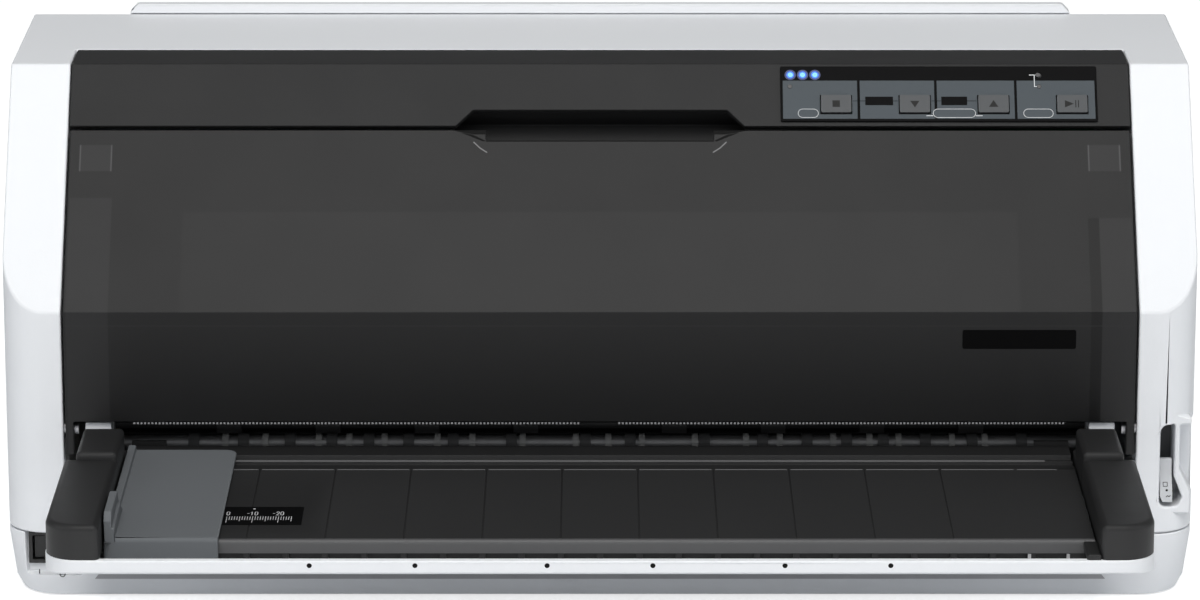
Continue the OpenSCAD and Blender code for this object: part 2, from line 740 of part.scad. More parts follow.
module front_cover() {
    x1 = cover_half_w;
    lip_half_w = recess_half_w - 13.5;
    function skin(z0, d0, d1) = [[front_y + d0, z0], [front_y + d0, bend_z - d0 * tan(inner_bend)],
        at(cover_slope_l, d0), at(cover_slope_l, d1),
        [front_y + d1, bend_z - d1 * tan(inner_bend)], [front_y + d1, z0]];
    color([0.2, 0.2, 0.21]) difference() {
        union() {
            side_slab(-x1, x1, skin(cover_edge_z, 0, cover_t));
            both_sides() {
                side_slab(x1 - 2.4, x1, skin(cover_edge_z, 0.5, cover_return));
                // ear that the hinge pin passes through
                box(ear_x, x1, front_y, front_y + cover_t, pivot_z - ear_drop, cover_edge_z + 1);
                side_slab(x1 - 3, x1, [[front_y + 1, pivot_z - ear_drop], [front_y + 1, cover_edge_z + 12],
                    [front_y + cover_return, cover_edge_z + 12], [front_y + cover_return, pivot_z + 4],
                    [pivot_y + 4, pivot_z + 2], [pivot_y + 4, pivot_z - 3],
                    [front_y + cover_t, pivot_z - ear_drop]]);
                rod_x(x1 - 3, x1, pivot_y, pivot_z, pin_r + 2.4);
                // catch that snaps behind the trim
                on_slope() translate([x1 - 16.8, cover_slope_l - 20, -cover_t - 3]) cube([10, 11, 3.5]);
            }
            // lip that the fingers pull
            on_slope() translate([-lip_half_w, cover_slope_l - 6.5, -9])
                cube([2 * lip_half_w, 2, 9 - cover_t + 0.5]);
        }
        on_slope() translate([-lip_half_w, cover_slope_l - 4.5, -20]) cube([2 * lip_half_w, 10, 30]);
        both_sides() rod_x(x1 - 10, x1 + 1, pivot_y, pivot_z, pin_r + running);
    }
}

module tear_edge() {
    half_l = table_half_w - 0.4;
    gap_half = 8;
    teeth = floor((half_l - gap_half) / tear_pitch);
    z = cover_edge_z;
    color([0.85, 0.85, 0.86]) both_sides() translate([gap_half, front_y + cover_t, 0])
        rotate([90, 0, 0]) linear_extrude(cover_t) polygon(concat(
            [[0, z]], [for (i = [0:teeth - 1], p = [[0.5, -0.9], [1, -0.15]])
                [(i + p[0]) * tear_pitch, z + p[1]]], [[teeth * tear_pitch, z]]));
}

module cover_pins() {
    color([0.75, 0.75, 0.77]) both_sides()
        rod_x(cover_half_w - 5, opening_half_w, pivot_y, pivot_z, pin_r);
}

// ---- tray ----

module tray_shell() {
    rear = front_y + wall + 3;
    slope = (lip_z - lip_h - 2.2 - opening_z) / (front_y - lip_y - 4);
    function under(y) = opening_z + 0.6 + (front_y - y) * slope;
    color([0.92, 0.93, 0.94]) {
        difference() {
            intersection() {
                side_slab(-tray_half_w, tray_half_w, [
                    [lip_y - 1, lip_z], [lip_y - 1, lip_z - lip_h], [lip_y + 4, under(lip_y + 4)],
                    [front_y, under(front_y)],
                    [front_y + 4, under(front_y)], [front_y + 4, opening_z + 14],
                    [arm_rear_y, opening_z + 18], [arm_rear_y, lip_z]]);
                linear_extrude(100)
                    front_rounded(-tray_half_w, tray_half_w, lip_y, rear, tray_corner_r);
            }
            intersection() {
                side_slab(-tray_half_w, tray_half_w, [
                    [lip_y, lip_z + 1], [lip_y, lip_z - lip_h + 2.5], [lip_y + 5, under(lip_y + 4) + 2],
                    // room under the table's front edge and the edge guide's apron
                    [lip_y + 14, table_z - 8.1], [lip_y + 24, table_z - 8.1],
                    [front_y, under(front_y) + tray_wall], [front_y + 6, under(front_y) + tray_wall],
                    [front_y + 6, opening_z + 30], [front_y, lip_z + 1]]);
                linear_extrude(100) front_rounded(-tray_half_w + tray_wall, tray_half_w - tray_wall,
                    lip_y + 3.6, rear + 5, tray_corner_r - tray_wall);
            }
            for (side = [-1, 1], x = [20, 70, 110])
                rod_y(side * x, lip_z - 1.9, lip_y - 1, lip_y + 5, 1);
        }
        // flange behind the casing's front wall
        box(-tray_half_w + 6, tray_half_w - 6, front_y + wall + 0.3, front_y + wall + 2.8,
            opening_z - 8, opening_z + 3);
        // light posts seen under the cover's corners
        both_sides() box(tray_half_w - 14.6, tray_half_w - 4.1, front_y + 2, front_y + 3.3,
            opening_z + 8, cover_edge_z - 0.8);
        // ribs that carry the table
        both_sides() for (x = [slot_pitch:groove_pitch:table_half_w - 20]) side_slab(x - 1, x + 1, [
            [lip_y + 22, under(lip_y + 22) + tray_wall - 0.2],
            [front_y - 1, under(front_y) + tray_wall - 0.2],
            [front_y - 1, table_z - 4.2], [lip_y + 22, table_z - 4.2]]);
    }
}

module tray_table() {
    top = table_z;
    f = table_front_y;
    slots = floor((table_half_w - 8) / slot_pitch);
    color([0.16, 0.16, 0.17]) {
        difference() {
            side_slab(-table_half_w, table_half_w, [
                [f, top - 1.2], [f + 0.4, top - 0.4], [f + 1.2, top],
                [front_y - 29, top], [front_y - 28.4, top + 0.35], [front_y - 27.6, top + 0.35],
                [front_y - 27, top], [front_y - 22, top], [front_y - 21, top - 1.6],
                [front_y - 15, top - 1.6], [front_y - 14.6, top - 0.4], [front_y - 13.4, top - 0.4],
                [front_y - 13, top - 1.6], [front_y - 7.6, top - 1.6], [front_y - 7, top],
                [table_rear_y - 1, top], [table_rear_y, top - 1], [table_rear_y, top - 4],
                [f + 3, top - 4], [f + 3, top - 7.8], [f, top - 7.8]]);
            // fine grooves along the paper's way
            for (side = [-1, 1], x = [groove_pitch / 2:groove_pitch:table_half_w - 45])
                box(side * x - 0.25, side * x + 0.25, f - 1, front_y - 27, top - 0.35, top + 1);
            // slots under the front edge
            for (i = [-slots:slots - 1])
                box(i * slot_pitch + 1.2, (i + 1) * slot_pitch - 1.2, f - 1, f + 2, top - 8.5, top - 5.2);
            // place of the scale strip
            box(scale_x - 0.1, scale_x + scale_l + 0.1, scale_front_y, scale_front_y + scale_w + 0.1,
                top - 0.5, top + 1);
        }
        // end blocks of the roller trough
        both_sides() box(table_half_w - 13.9, table_half_w, table_rear_y, table_rear_y + 2,
            top - 4, top + 1.6);
    }
}

module tray_arm() {
    color([0.17, 0.17, 0.18]) difference() {
        intersection() {
            side_slab(arm_x, arm_x + arm_w, [
                [lip_y + 0.8, lip_z], [lip_y + 0.8, arm_z - 3], [lip_y + 1.8, arm_z - 1], [lip_y + 4, arm_z],
                [front_y - 54, arm_z], [front_y - 51, arm_z + 0.8], [front_y - 48, arm_block_z - 0.6],
                [front_y - 46, arm_block_z], [arm_rear_y - 1.5, arm_block_z], [arm_rear_y, arm_block_z - 1.5],
                [arm_rear_y, lip_z + 3], [front_y - 2, lip_z + 3], [front_y - 2, lip_z - 3],
                [arm_rear_y + 0.3, lip_z - 3], [arm_rear_y + 0.3, lip_z]]);
            translate([0, 0, lip_z - 4]) linear_extrude(40) {
                front_rounded(arm_x - 60, arm_x + arm_w, lip_y + 0.8, front_y, arm_corner_r);
            }
        }
        // the raised block is narrower than its arm
        box(arm_x + arm_w - arm_block_in, arm_x + arm_w + 1, front_y - 51, front_y, lip_z - 4, 90);
        // hollow underside
        box(arm_x + 2.5, arm_x + arm_w - 2.6, lip_y + 22, front_y - 54, lip_z - 1, arm_z - 2.5);
        box(arm_x + 2.5, arm_x + arm_w - arm_block_in - 2.6, front_y - 55, arm_rear_y - 3,
            lip_z - 1, arm_z - 2.5);
    }
}

module tray_arm_right() tray_arm();
module tray_arm_left() mirror([1, 0, 0]) tray_arm();

module scale_strip() {
    color([0.05, 0.05, 0.05]) box(scale_x, scale_x + scale_l, scale_front_y + 0.05,
        scale_front_y + scale_w, table_z - 0.5, table_z + 0.05);
}

module edge_guide() {
    z0 = table_z + slide_gap + 0.1;
    z1 = z0 + guide_t;
    corner = 5;
    x1 = guide_x + guide_w;
    tall = arm_z + 0.4;
    color([0.37, 0.38, 0.40]) {
        box(guide_x, x1, guide_front_y, guide_rear_y - corner, z0, z1);
        box(guide_x, x1 - corner, guide_rear_y - corner - 1, guide_rear_y, z0, z1);
        rod_z(x1 - corner, guide_rear_y - corner, z0, z1, corner);
        // front apron with a rounded upper edge
        side_slab(guide_x, x1, [[guide_front_y + 0.1, z0], [guide_front_y + 0.1, z1],
            [guide_front_y - 0.7, z1 - 0.3], [guide_front_y - 1.4, z1 - 1.1], [guide_front_y - 1.6, z1 - 2],
            [guide_front_y - 1.6, z1 - 9.4], [guide_front_y, z1 - 9.4], [guide_front_y, z0]]);
        // fence, low at the rear and tall at the front
        side_slab(guide_x, guide_x + fence_w, [
            [guide_front_y - 1.6, z0], [guide_front_y - 1.6, tall - 3], [guide_front_y + 1.4, tall],
            [guide_front_y + 28, tall], [guide_front_y + 32, z1 + 2.2], [guide_rear_y - 1, z1 + 2.2],
            [guide_rear_y, z1 + 1.2], [guide_rear_y, z0]]);
        // gusset inside the tall part
        side_slab(guide_x + fence_w - eps, guide_x + fence_w + 1.2, [
            [guide_front_y - 1.6, z1 - 2], [guide_front_y - 1.6, tall - 6], [guide_front_y + 26, tall - 4],
            [guide_front_y + 36, z1 - 0.1], [guide_front_y, z1 - 0.1]]);
    }
}

// ---- switch and lever ----

module power_switch() {
    y0 = front_y + pocket_d + 0.2;
    xm = switch_x + switch_w / 2;
    color([0.08, 0.08, 0.09]) difference() {
        union() {
            box(switch_x + 0.2, switch_x + switch_w - 0.2, front_y + pocket_d - 1.6, y0 + 14,
                switch_z + 0.2, switch_z + switch_h - 0.2);
            for (dx = [-5, 0, 5])
                box(xm + dx - 1.5, xm + dx + 1.5, y0 + 13, y0 + 20, switch_z + 6, switch_z + 7);
        }
        box(switch_x + 1.8, switch_x + switch_w - 1.8, front_y, y0 + 9,
            switch_z + 1.8, switch_z + switch_h - 1.8);
        rod_z(xm, rocker_y, switch_z + 0.7, switch_z + switch_h - 0.7, rocker_pin_r + running);
    }
}

module power_rocker() {
    half = switch_w / 2 - 3;
    tilt = rocker_swing / 2;
    crest = -5.4 - half * tan(tilt) * 0.6;
    xm = switch_x + switch_w / 2;
    color([0.13, 0.13, 0.14]) union() {
        translate([xm, rocker_y, switch_z + 2.1]) rotate([0, 0, -tilt])
            linear_extrude(switch_h - 4.2)
                polygon([[-half, crest], [0, -4.6], [half, crest], [half * 0.8, -1],
                    [2.5, 2.6], [-2.5, 2.6], [-half * 0.8, -1]]);
        rod_z(xm, rocker_y, switch_z + 0.8, switch_z + switch_h - 0.8, rocker_pin_r);
    }
}

module lever_shroud() {
    color([0.32, 0.32, 0.33]) {
        translate([0, front_y + 22, 0]) rotate([90, 0, 0]) linear_extrude(4) intersection() {
            notch_outline(0.1);
            translate([lever_x, notch_z + 4]) square([notch_w, notch_h]);
        }
        // pin that the lever turns on
        rod_x(lever_x + eps, lever_x + notch_w - eps, lever_pivot_y, lever_pivot_z, lever_pin_r);
    }
}

module release_lever() {
    z = notch_z;
    color([0.75, 0.76, 0.78]) difference() {
        side_slab(lever_x + 0.4, lever_x + lever_w, [
            [front_y + 0.9, z + 2.2], [front_y + 1.2, z + 6], [front_y + 5.4, z + 12.5],
            [front_y + 6, z + lever_h], [front_y + 8, z + lever_h], [front_y + 8, z + 12.5],
            [front_y + 8, z + 4], [front_y + 5.8, z + 2.3], [front_y + 2.6, z + 1.8]]);
        rod_x(lever_x, lever_x + lever_w + 1, lever_pivot_y, lever_pivot_z,
            lever_pin_r + running);
        // slanted lower left edge, clear of the pocket's rounded corner
        translate([0, front_y + 22, 0]) rotate([90, 0, 0]) linear_extrude(40) polygon([
            [lever_x - 1, z + 7.5], [lever_x + 1.9, z + 1.3], [lever_x + 1.9, z], [lever_x - 1, z]]);
    }
}

// ---- rear ----

module rear_sheet_guide() {
    n = [sin(back_angle), cos(back_angle)];
    t = [cos(back_angle), -sin(back_angle)];
    p = [lid_pivot_y, lid_pivot_z];
    w = hump_half_w - 0.5;
    crown = top_z + 4.2;
    tip = [top_rear_y + 5, crown];
    low = p + 3.2 * n;
    color([0.90, 0.91, 0.93]) difference() {
        union() {
            difference() {
                // from the front edge over the hump and down to the pivot
                intersection() {
                    side_slab(-w, w, [[top_rear_y - 1.3, top_z + 0.3], [top_rear_y - 0.9, crown - 0.5],
                        [top_rear_y - 0.4, crown], tip, low, p - 2.6 * n, [top_rear_y + 2, top_z + 0.4]]);
                    // ends that lean in towards the crown
                    translate([0, back_y + 5, 0]) rotate([90, 0, 0]) linear_extrude(case_d) polygon([
                        [-w, 0], [w, 0], [w, top_z + 0.3], [w - hump_lean, crown],
                        [hump_lean - w, crown], [-w, top_z + 0.3]]);
                }
                side_slab(-w + 3, w - 3, [[top_rear_y - 1.2, top_z - 3], [top_rear_y - 0.4, crown - hump_t],
                    tip - [0.4, hump_t * 1.3], low - hump_t * n + 5 * t, p - 9 * n + 5 * t]);
            }
            both_sides() rod_x(hump_half_w - 6, w - 0.2, lid_pivot_y, lid_pivot_z, lid_barrel_r);
        }
        both_sides() {
            rod_x(hump_half_w - 8, hump_half_w, lid_pivot_y, lid_pivot_z, lid_pin_r + running);
            // notch round the bracket
            rod_x(hump_half_w - 9.6, hump_half_w - 6.1, lid_pivot_y, lid_pivot_z, hinge_off);
        }
    }
}

module guide_brackets() {
    n = [sin(back_angle), cos(back_angle)];
    t = [cos(back_angle), -sin(back_angle)];
    p = [lid_pivot_y, lid_pivot_z];
    color([0.75, 0.75, 0.77]) both_sides() {
        side_slab(hump_half_w - 9, hump_half_w - 6.6, [p + 2 * t, p + 2 * t - hinge_off * n,
            p - 4 * t - hinge_off * n, p - 2 * t + 0.2 * n]);
        rod_x(hump_half_w - 9, hump_half_w - 6.6, lid_pivot_y, lid_pivot_z, 2.4);
        rod_x(hump_half_w - 7.6, hump_half_w - 1.5, lid_pivot_y, lid_pivot_z, lid_pin_r);
    }
}

module socket_plate() {
    y0 = back_y - 2.6;
    color([0.62, 0.63, 0.65]) difference() {
        union() {
            box(parallel_x - 63.8, parallel_x + 39.8, y0, y0 + 1.2, socket_z - 10.2, socket_z + 10.2);
            box(parallel_x - 34, parallel_x + 34, y0 - 12, y0 + 2.2, socket_z - 8, socket_z + 8);
            box(bus_x - 7, bus_x + 7, y0 - 14, y0 + 1.8, socket_z - 7, socket_z + 7);
        }
        box(parallel_x - 30, parallel_x + 30, y0 - 8, y0 + 3, socket_z - 4.6, socket_z + 4.6);
        box(bus_x - 4.6, bus_x + 4.6, y0 - 10, y0 + 3, socket_z - 4.4, socket_z + 4.4);
    }
}

module mains_inlet() {
    y0 = back_y - 2.6;
    color([0.08, 0.08, 0.08]) {
        difference() {
            box(inlet_x - 13.8, inlet_x + 13.8, y0 - 18, y0 + 1.8, socket_z - 10, socket_z + 10);
            box(inlet_x - 11.5, inlet_x + 11.5, y0 - 15, y0 + 3, socket_z - 7.8, socket_z + 7.8);
        }
        for (p = [[-6, -2.5], [0, 2.5], [6, -2.5]])
            box(inlet_x + p[0] - 1, inlet_x + p[0] + 1, y0 - 15.5, y0 - 2,
                socket_z + p[1] - 2, socket_z + p[1] + 2);
    }
}

// ---- steel frame and paper path ----

module side_frame() {
    x = frame_half_w;
    difference() {
        union() {
            side_slab(x, x + frame_t, [
                [front_y + 9, floor_z], [frame_rear_y, floor_z], [frame_rear_y, belt_z + 6],
                [print_y + 4, belt_z + 6], [cartridge_y - 6, cartridge_z + 18],
                [front_y + 9, cartridge_z - 4]]);
            // foot that stands on the lower case
            box(x - 12, x + frame_t, front_y + 14, frame_rear_y - 18, floor_z, floor_z + frame_t);
        }
        for (y = [front_feed_y, rear_feed_y]) {
            rod_x(x - 1, x + 3, y, feed_z, bush_r);
            rod_x(x - 1, x + 3, y, pinch_z, pinch_shaft_d / 2 + running);
        }
        rod_x(x - 1, x + 3, guide_shaft_y, guide_shaft_z, guide_shaft_d / 2);
        for (y = [front_y + 24, frame_rear_y - 26])
            rod_z(x - 6, y, floor_z - 1, floor_z + 3, screw_d / 2);
    }
}

module side_frame_right() {
    color([0.62, 0.63, 0.65]) side_frame();
}

module side_frame_left() {
    color([0.62, 0.63, 0.65]) {
        difference() {
            mirror([1, 0, 0]) side_frame();
            rod_x(-frame_out - 1, -frame_half_w + 1, pinion_y, pinion_z, 6);
        }
        // stud that the middle gear runs on
        rod_x(-frame_out - gear_w - 3, -frame_out + eps, middle_y, feed_z, 4);
    }
}

module frame_bars() {
    x = frame_half_w;
    color([0.58, 0.59, 0.61]) {
        // beam under the platen
        difference() {
            box(-x, x, print_y - platen_w / 2 - 1, print_y + platen_w / 2 + 1, beam_z - beam_h, beam_z);
            box(-x + 2, x - 2, print_y - platen_w / 2 + 1, print_y + platen_w / 2 - 1,
                beam_z - beam_h - 1, beam_z - 1.5);
        }
        // rail that the front of the carriage slides on
        box(-x, x, rail_y, rail_y + 6, carriage_z - 8, carriage_z - slide_gap);
        // bar over the pinch rollers
        box(-x, x, front_feed_y + pinch_d / 2 + 2, front_feed_y + pinch_d / 2 + 3.5,
            pinch_z - 1, pinch_z + 9);
        box(-x, x, rear_feed_y + pinch_d / 2 + 2, rear_feed_y + pinch_d / 2 + 3.5,
            pinch_z - 1, pinch_z + 4);
        // shelf that holds the belt's motor and idler
        difference() {
            box(-x, x, belt_y - 6, frame_rear_y, shelf_z, shelf_z + shelf_t);
            both_sides() rod_z(pulley_x, belt_y, shelf_z - 1, shelf_z + 3, 2 + running);
        }
    }
}

module paper_guides() {
    x = frame_half_w;
    t = 2;
    top = table_z + 0.5;
    color([0.14, 0.14, 0.15]) {
        box(-x, x, front_feed_y + guide_edge, print_y - platen_w / 2 - 0.5, top - t, top);
        box(-x, x, print_y + platen_w / 2 + 0.5, rear_feed_y - guide_edge, top - t, top);
        box(-x, x, rear_feed_y + guide_edge, frame_rear_y, top - t, top);
        box(-slot_half_w + 1, slot_half_w - 1, frame_rear_y, back_y - 0.6, top - t, top);
        for (i = [-3:3]) translate([i * (slot_half_w - 28) / 3, 0, 0])
            box(-1, 1, rear_feed_y + roller_d / 2 + 8, back_y - 10, top - 8, top - t + eps);
    }
}

module platen() {
    color([0.3, 0.3, 0.31]) difference() {
        box(-frame_half_w + 2, frame_half_w - 2, print_y - platen_w / 2, print_y + platen_w / 2,
            beam_z, platen_z);
        for (side = [-1, 1]) rod_z(side * (frame_half_w - 16), print_y, beam_z - 1, beam_z + 6, 1.5);
    }
}

module shaft_bushes() {
    color([0.72, 0.58, 0.3]) for (side = [-1, 1], y = [front_feed_y, rear_feed_y]) difference() {
        union() {
            rod_x(side * (frame_half_w + frame_t / 2) - frame_t / 2, side * (frame_half_w + frame_t / 2)
                + frame_t / 2, y, feed_z, bush_r);
            rod_x(side * (frame_half_w - 0.6) - 0.6, side * (frame_half_w - 0.6) + 0.6, y, feed_z,
                bush_r + bush_flange);
        }
        rod_x(side * frame_half_w - 6, side * frame_half_w + 6, y, feed_z, shaft_d / 2 + running);
    }
}

module front_shaft() {
    color([0.72, 0.72, 0.74])
        rod_x(gear_x - 1, shaft_end, front_feed_y, feed_z, shaft_d / 2);
}

module rear_shaft() {
    color([0.72, 0.72, 0.74])
        rod_x(gear_x - 1, shaft_end, rear_feed_y, feed_z, shaft_d / 2);
}

module ring_x(x, w, y, z, r, bore_r) {
    difference() {
        rod_x(x - w / 2, x + w / 2, y, z, r);
        rod_x(x - w, x + w, y, z, bore_r);
    }
}

module front_rollers() {
    color([0.1, 0.1, 0.1]) for (x = FRONT_ROLLERS)
        ring_x(x, roller_w, front_feed_y, feed_z, roller_d / 2, shaft_d / 2);
}

module rear_rollers() {
    color([0.1, 0.1, 0.1]) for (x = REAR_ROLLERS)
        ring_x(x, 14, rear_feed_y, feed_z, roller_d / 2, shaft_d / 2);
}

module front_gear() {
    color([0.88, 0.87, 0.82])
        gear_at(gear_x, front_feed_y, feed_z, feed_teeth, 180 / feed_teeth, shaft_d / 2);
}

module rear_gear() {
    color([0.88, 0.87, 0.82])
        gear_at(gear_x, rear_feed_y, feed_z, feed_teeth, 180 / feed_teeth, shaft_d / 2);
}

module middle_gear() {
    color([0.88, 0.87, 0.82])
        gear_at(gear_x, middle_y, feed_z, middle_teeth, 0, 4 + running);
}

module motor_pinion() {
    color([0.80, 0.68, 0.35]) {
        gear_at(gear_x, pinion_y, pinion_z, pinion_teeth,
            pinion_angle + 180 + 180 / pinion_teeth, 1.4);
        rod_x(gear_x - 0.5, -frame_half_w + motor_l - 6, pinion_y, pinion_z, 1.5);
    }
}

// A stepper motor standing on the X axis, with its shaft's bore at the near end
module stepper(x0, y, z) {
    difference() {
        union() {
            rod_x(x0, x0 + motor_l, y, z, motor_d / 2);
            rod_x(x0 - frame_t, x0 + 1, y, z, 5.8);
            rod_x(x0, x0 + 1.6, y, z, motor_d / 2 + 1.5);
        }
        rod_x(x0 - 5, x0 + motor_l - 5, y, z, 1.5 + running);
    }
}

module feed_motor() {
    color([0.30, 0.30, 0.32]) stepper(-frame_half_w, pinion_y, pinion_z);
}

module roller_clips() {
    // clips hooked over the front shaft, hanging from the bar behind it
    gap = 0.3;
    r0 = shaft_d / 2 + gap;
    color([0.78, 0.78, 0.76]) for (x = CLIPS) difference() {
        union() {
            rod_x(x - 1.2, x + 1.2, front_feed_y, feed_z, r0 + 0.6);
            box(x - 1.2, x + 1.2, front_feed_y, front_feed_y + guide_edge, feed_z - 1, feed_z + 1);
        }
        rod_x(x - 2, x + 2, front_feed_y, feed_z, r0);
    }
}

module pinch_set(y, places) {
    union() {
        rod_x(-frame_out - 0.4, frame_out + 0.4, y, pinch_z, pinch_shaft_d / 2);
        for (x = places) rod_x(x - 5, x + 5, y, pinch_z, pinch_d / 2);
    }
}

module front_pinch() {
    color([0.2, 0.2, 0.2]) pinch_set(front_feed_y, REAR_ROLLERS);
}

module rear_pinch() {
    color([0.2, 0.2, 0.2]) pinch_set(rear_feed_y, REAR_ROLLERS);
}

// ---- print mechanism ----

module guide_shaft() {
    color([0.80, 0.80, 0.82])
        rod_x(-frame_out, frame_out, guide_shaft_y, guide_shaft_z, guide_shaft_d / 2);
}

module carriage() {
    w = carriage_w;
    z0 = carriage_z;
    r = guide_shaft_d / 2;
    color([0.22, 0.22, 0.23]) difference() {
        union() {
            box(-w / 2, w / 2, rail_y, guide_shaft_y + r + 4, z0, z0 + 4);
            box(-w / 2, w / 2, guide_shaft_y - r - 3, guide_shaft_y + r + 4, z0 + 3, guide_shaft_z + r + 4);
            box(-w / 2, -w / 2 + 3, print_y - 18, guide_shaft_y - r, z0, z0 + 22);
            box(w / 2 - 3, w / 2, print_y - 18, guide_shaft_y - r, z0, z0 + 22);
            // arm that grips the belt
            box(-8, 8, guide_shaft_y, belt_y - pulley_d / 2 - belt_t - slide_gap,
                guide_shaft_z + r + 2, belt_z + belt_w);
        }
        box(-w / 2 + 3.4, w / 2 - 3.4, print_y - 15, print_y + 15, z0 - 1, z0 + 30);
        rod_x(-w, w, guide_shaft_y, guide_shaft_z, r + running);
    }
}

module print_head() {
    z0 = nose_z;
    w = carriage_w / 2 - 3.7;
    color([0.25, 0.25, 0.26]) union() {
        box(-5, 5, print_y - 3, print_y + 3, z0, z0 + 8);
        box(-12, 12, print_y - 9, print_y + 9, z0 + 6, z0 + 18);
        box(-w, w, print_y - 14.7, print_y + 14.7, z0 + 16, z0 + 22);
        for (i = [0:6]) box(-w, w, print_y - 14.7, print_y + 14.7, z0 + 25 + 3 * i, z0 + 26.2 + 3 * i);
        box(-w + 5, w - 5, print_y - 9, print_y + 9, z0 + 20, z0 + 44);
    }
}

module carriage_motor() {
    color([0.30, 0.30, 0.32]) difference() {
        rod_z(-pulley_x, belt_y, shelf_z - motor_l, shelf_z, motor_d / 2 - 1);
        rod_z(-pulley_x, belt_y, shelf_z - motor_l + 5, shelf_z + 1, 2 + running);
    }
}

module pulley(x, y, z0, r, shaft_z0) {
    union() {
        rod_z(x, y, z0, z0 + belt_w + 1, r);
        rod_z(x, y, z0 - 1.2, z0, r + 2);
        rod_z(x, y, z0 + belt_w + 1, z0 + belt_w + 2, r + 2);
        rod_z(x, y, shaft_z0, z0, 2);
    }
}

module drive_pulley() {
    color([0.80, 0.68, 0.35])
        pulley(-pulley_x, belt_y, belt_z - 0.5, pulley_d / 2, shelf_z - motor_l + 6);
}

module idler_pulley() {
    color([0.85, 0.85, 0.83]) pulley(pulley_x, belt_y, belt_z - 0.5, pulley_d / 2, shelf_z - 4);
}

module timing_belt() {
    r = pulley_d / 2 + 0.1;
    color([0.1, 0.1, 0.1]) translate([0, belt_y, belt_z]) linear_extrude(belt_w) difference() {
        union() {
            translate([-pulley_x, -r - belt_t]) square([2 * pulley_x, 2 * (r + belt_t)]);
            for (side = [-1, 1]) translate([side * pulley_x, 0]) circle(r + belt_t);
        }
        translate([-pulley_x, -r]) square([2 * pulley_x, 2 * r]);
        for (side = [-1, 1]) translate([side * pulley_x, 0]) circle(r);
    }
}

module ribbon_cartridge() {
    x = cartridge_half_w;
    y0 = cartridge_y;
    z0 = cartridge_z;
    arm = 10;
    color([0.15, 0.15, 0.16]) difference() {
        union() {
            box(-x, x, y0, y0 + cartridge_d, z0, z0 + cartridge_h);
            both_sides() {
                side_slab(x - arm, x, [
                    [y0 + 4, z0 + 8], [y0 + cartridge_d - 1, z0 + 12], [print_y + 2, z0 + 2],
                    [print_y + ribbon_w / 2 + 1, ribbon_z + 6],
                    [print_y + ribbon_w / 2 + 1, ribbon_z - 0.3],
                    [print_y - ribbon_w / 2 - 2, ribbon_z - 0.3],
                    [print_y - 18, z0 - 4]]);
                // peg that rests in the side frame's notch
                rod_x(x - 1, frame_half_w, y0 + 8, z0 + 8, 3);
            }
        }
        rod_z(knob_x, y0 + cartridge_d / 2, z0 + 4, z0 + cartridge_h + 1, 3 + running);
    }
}

module ribbon_band() {
    x = cartridge_half_w - 10;
    color([0.05, 0.05, 0.06])
        box(-x, x, print_y - ribbon_w / 2, print_y + ribbon_w / 2, ribbon_z, ribbon_z + 0.25);
}

module ribbon_knob() {
    y = cartridge_y + cartridge_d / 2;
    z = cartridge_z + cartridge_h;
    color([0.15, 0.35, 0.6]) difference() {
        union() {
            rod_z(knob_x, y, z - 14, z + 1, 3);
            rod_z(knob_x, y, z + 0.4, z + 8, 9);
        }
        for (a = [0:30:330]) translate([knob_x, y, z + 2]) rotate([0, 0, a]) translate([9.4, 0, 0])
            cylinder(h = 7, r = 1.3);
    }
}

// A part on a large board: its corner is given as shares of the board, and its sizes in mm
module on_board(x_share, y_share, w, d, h)
    translate([board_x0 + x_share * board_w, board_y0 + y_share * board_d, board_z + board_t - eps])
        cube([w, d, h]);

module can_on_board(x_share, y_share, r, h)
    translate([board_x0 + x_share * board_w, board_y0 + y_share * board_d, board_z + board_t - eps])
        cylinder(h = h, r = r);

module main_board() {
    color([0.12, 0.4, 0.22]) union() {
        box(board_x0, board_x1, board_y0, board_y1, board_z, board_z + board_t);
        on_board(0.27, 0.26, 28, 28, 3);
        on_board(0.58, 0.16, 20, 12, 3);
        on_board(0.58, 0.42, 20, 12, 3);
        for (share = [0.08, 0.15, 0.22]) can_on_board(share, 0.78, 3.5, 12);
        on_board(0.81, 0.13, 18, 50, 8);
    }
}

module power_supply() {
    color([0.55, 0.42, 0.22]) mirror([1, 0, 0]) union() {
        box(board_x0, board_x1, board_y0, board_y1, board_z, board_z + board_t);
        on_board(0.33, 0.24, 42, 36, 26);
        can_on_board(0.21, 0.26, 9, 24);
        can_on_board(0.21, 0.63, 9, 24);
        // cooling fins
        on_board(0.71, 0.1, 24, 44, 3);
        for (i = [0:4]) translate([0, 10 * i, 0]) on_board(0.71, 0.1, 24, 2, 20);
    }
}

lower_case();
upper_case();
rubber_feet();
case_screws();
top_trim();
control_overlay();
button_square();
button_down();
button_up();
button_play();
lamps_lit();
lamps_dark();
panel_board();
front_cover();
tear_edge();
cover_pins();
tray_shell();
tray_table();
tray_arm_left();
tray_arm_right();
scale_strip();
edge_guide();
power_switch();
power_rocker();
lever_shroud();
release_lever();
rear_sheet_guide();
guide_brackets();
socket_plate();
mains_inlet();
side_frame_left();
side_frame_right();
frame_bars();
paper_guides();
platen();
shaft_bushes();
front_shaft();
front_rollers();
front_gear();
roller_clips();
front_pinch();
rear_shaft();
rear_rollers();
rear_gear();
rear_pinch();
middle_gear();
feed_motor();
motor_pinion();
guide_shaft();
carriage();
print_head();
carriage_motor();
drive_pulley();
idler_pulley();
timing_belt();
ribbon_cartridge();
ribbon_band();
ribbon_knob();
main_board();
power_supply();
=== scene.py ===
"""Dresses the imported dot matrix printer: softened shells, printed strip, scale, finishes, stage.

Sizes in the building code are millimetres in the row frame, and become metres where a mesh is made.
"""

import math

